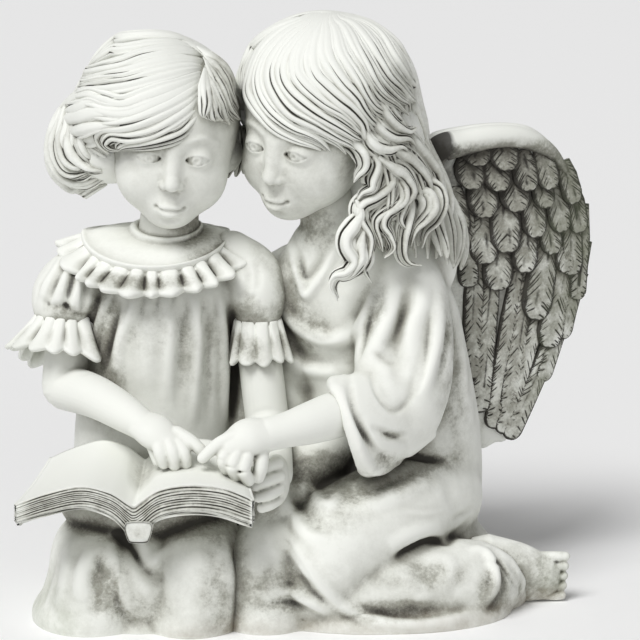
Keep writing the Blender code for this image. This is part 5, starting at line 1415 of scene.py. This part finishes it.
class Wire:
    """A value that runs between shader nodes. Sums written with it become Math nodes."""

    def __init__(self, tree, socket):
        self.tree = tree
        self.socket = socket

    def sum_node(self, operation, first, second, clamp=False):
        node = self.tree.nodes.new("ShaderNodeMath")
        node.operation = operation
        node.use_clamp = clamp
        for slot, value in zip(node.inputs, (first, second)):
            if isinstance(value, Wire):
                self.tree.links.new(value.socket, slot)
            else:
                slot.default_value = value
        return Wire(self.tree, node.outputs[0])

    def __add__(self, other):
        return self.sum_node("ADD", self, other)

    def __radd__(self, other):
        return self.sum_node("ADD", other, self)

    def __sub__(self, other):
        return self.sum_node("SUBTRACT", self, other)

    def __rsub__(self, other):
        return self.sum_node("SUBTRACT", other, self)

    def __mul__(self, other):
        return self.sum_node("MULTIPLY", self, other)

    def __rmul__(self, other):
        return self.sum_node("MULTIPLY", other, self)

    def clipped(self):
        return self.sum_node("ADD", self, 0.0, True)


def add_node(tree, kind, settings=None, output=0, **sockets):
    """A node of a type, its settings, and values or wires for its sockets."""
    node = tree.nodes.new(kind)
    for name, value in (settings or {}).items():
        if name == "stops":
            ramp = node.color_ramp
            for i, (place, colour) in enumerate(value):
                stop = ramp.elements[i] if i < 2 else ramp.elements.new(place)
                stop.position, stop.color = place, colour
        else:
            setattr(node, name, value)
    for name, value in sockets.items():
        slot = node.inputs[int(name[1:])] if name[0] == "i" and name[1:].isdigit() else node.inputs[name]
        if isinstance(value, Wire):
            tree.links.new(value.socket, slot)
        else:
            slot.default_value = value
    return Wire(tree, node.outputs[output])


def cast_stone(name):
    """Whitewashed cast stone. A grey-brown wash lies in its hollows and wears off its high places. Its
    colour also holds painted shade where stone is close by, in hollows and grooves, and a painted highlight
    on ridges.
    """
    material = bpy.data.materials.new(name)
    material.use_nodes = True
    tree = material.node_tree
    shader = tree.nodes["Principled BSDF"]
    place = add_node(tree, "ShaderNodeTexCoord", output=3)

    def noise(scale, detail, seed=0.0, rough=0.55):
        return add_node(tree, "ShaderNodeTexNoise", {"noise_dimensions": "4D"},
                        Vector=place, W=seed, Scale=scale, Detail=detail, Roughness=rough)

    def ramp(value, low, high):
        stops = [(low, (0, 0, 0, 1)), (high, (1, 1, 1, 1))]
        return add_node(tree, "ShaderNodeValToRGB", {"stops": stops}, Fac=value)

    def measure(of):
        return add_node(tree, "ShaderNodeAttribute", {"attribute_name": of}, 2)

    occluded_share, groove, hollow, weathering_and_shade_share = measure("occlusion_shade"), measure("groove"), measure("hollow"), measure("wash_and_painted_shade")
    patches = noise(20, 6, 1.3, 0.6)
    mottle = noise(90, 8, 2.1, 0.7)
    speck = noise(520, 4, 4.0, 0.7)
    uneven = (weathering_and_shade_share * 2.2 - 0.1).clipped()
    soft = ((patches - 0.5) * 1.6 + (mottle - 0.5) * 1.4) * uneven
    grit = ((mottle - 0.5) * 1.2 + (speck - 0.5) * 1.4) * uneven
    # a thin grey film, then the brown-grey wash, then the dark of the grooves. All three also paint shade
    # where stone is close by and in hollows and grooves.
    film_and_shade = ramp(occluded_share + weathering_and_shade_share + hollow * 0.8 + soft + grit * 0.3, 0.04, 0.72)
    wash_and_shade = ramp(occluded_share + weathering_and_shade_share * 0.75 + hollow * 0.6 + groove * 0.6 + soft * 0.5 + grit * 0.6, 0.30, 1.0)
    line = ramp(groove * 1.5 + hollow * 0.3 + weathering_and_shade_share * 0.7 + occluded_share * 0.45 + grit * 0.35, 0.55, 1.25)

    def over(under, colour, share):
        return add_node(tree, "ShaderNodeMix", {"data_type": "RGBA"}, 2, i0=share, i6=under, i7=colour)

    colour = over(WHITEWASH, GREY_FILM_AND_SHADE, film_and_shade * 0.85)
    colour = over(colour, BROWN_WASH_AND_SHADE, wash_and_shade * 0.86)
    colour = over(colour, GROOVE_DARK, line * 0.92)
    # Lighter ridges: the wash worn off, with a painted highlight.
    high = ramp(groove * -0.7 + hollow * -0.5, 0.04, 0.4)
    colour = over(colour, WORN_WHITE_AND_HIGHLIGHT, high * (1.0 - weathering_and_shade_share * 0.6) * 0.35)
    blotch = ramp(soft * 0.8 + 0.5, 0.3, 0.75)
    colour = over(colour, MOSS_GREEN, measure("moss") * blotch * 0.4)
    colour = over(colour, EARTH_BROWN, measure("earth") * blotch * 0.5)
    pits = ramp(speck, 0.68, 0.76)
    colour = over(colour, PIT_GREY, pits * 0.3)
    tree.links.new(colour.socket, shader.inputs["Base Color"])
    rough = 0.62 + mottle * 0.25 + wash_and_shade * 0.12
    tree.links.new(rough.socket, shader.inputs["Roughness"])
    height = mottle * 0.5 + speck * 0.25 - pits * 0.3
    bump = add_node(tree, "ShaderNodeBump", Strength=0.25, Distance=0.0006, Height=height)
    tree.links.new(bump.socket, shader.inputs["Normal"])
    return material


# Studio

AIM = (0.0134, 0, 0.18844)
DISTANCE = 1.75
LOOK_DOWN = math.radians(10)
LENS = 146.92


def studio():
    bpy.ops.mesh.primitive_plane_add(size=40, location=(0, 0, 0))
    floor = bpy.context.object
    floor.name = "studio_floor"
    floor.location = (0, 0, 0)
    paper = bpy.data.materials.new("studio_paper")
    paper.use_nodes = True
    shader = paper.node_tree.nodes["Principled BSDF"]
    shader.inputs["Base Color"].default_value = (0.97, 0.97, 0.97, 1)
    shader.inputs["Roughness"].default_value = 0.9
    floor.data.materials.append(paper)
    world = bpy.data.worlds.new("soft_sky")
    world.use_nodes = True
    sky = world.node_tree.nodes["Background"]
    sky.inputs["Color"].default_value = (1, 1, 1, 1)
    sky.inputs["Strength"].default_value = 0.25
    bpy.context.scene.world = world
    bpy.context.scene.view_settings.view_transform = "Standard"
    lamps = [("key_light", (-0.75, -1.1, 1.75), 2.25, 30), ("fill_light", (0.35, -2.4, 0.5), 0.36, 60)]
    for name, place, strength, spread in lamps:
        light = bpy.data.lights.new(name, "SUN")
        light.energy, light.angle = strength, math.radians(spread)
        lamp = bpy.data.objects.new(name, light)
        lamp.location = place
        lamp.rotation_euler = Vector(place).to_track_quat("Z", "Y").to_euler()
        bpy.context.scene.collection.objects.link(lamp)


def camera():
    """The photograph's viewpoint: in front and ten degrees above, from a long lens."""
    view = bpy.data.objects.new("camera", bpy.data.cameras.new("camera"))
    view.data.lens = LENS
    view.data.sensor_width = 36
    back = Vector((0, -math.cos(LOOK_DOWN), math.sin(LOOK_DOWN)))
    view.location = Vector(AIM) + back * DISTANCE
    view.rotation_euler = (-back).to_track_quat("-Z", "Y").to_euler()
    bpy.context.scene.collection.objects.link(view)
    bpy.context.scene.camera = view


def one_lump(name, lump):
    clay = Clay()
    clay.add(lump)
    return clay.to_object(name)


def main():
    bpy.ops.object.select_all(action="DESELECT")
    pieces = [
        girl_dress(), collar_and_frills(), girl_arms(), book(), angel_robe(), angel_arm(), angel_foot(),
        one_lump("girl_head", head(GIRL_HEAD)), one_lump("angel_head", head(ANGEL_HEAD)),
        girl_hair(), angel_hair(), angel_locks(),
        build_wing("left_wing", LEFT_WING, True), build_wing("right_wing", RIGHT_WING, False),
    ]
    stone = cast_stone("weathered_stone_with_painted_shade")
    for obj in pieces:
        obj.data.materials.append(stone)
        obj.data.polygons.foreach_set("use_smooth", [True] * len(obj.data.polygons))
        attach(obj, "root")
        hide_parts("statue")
    store_weathering_and_shade(pieces)
    studio()
    camera()


main()
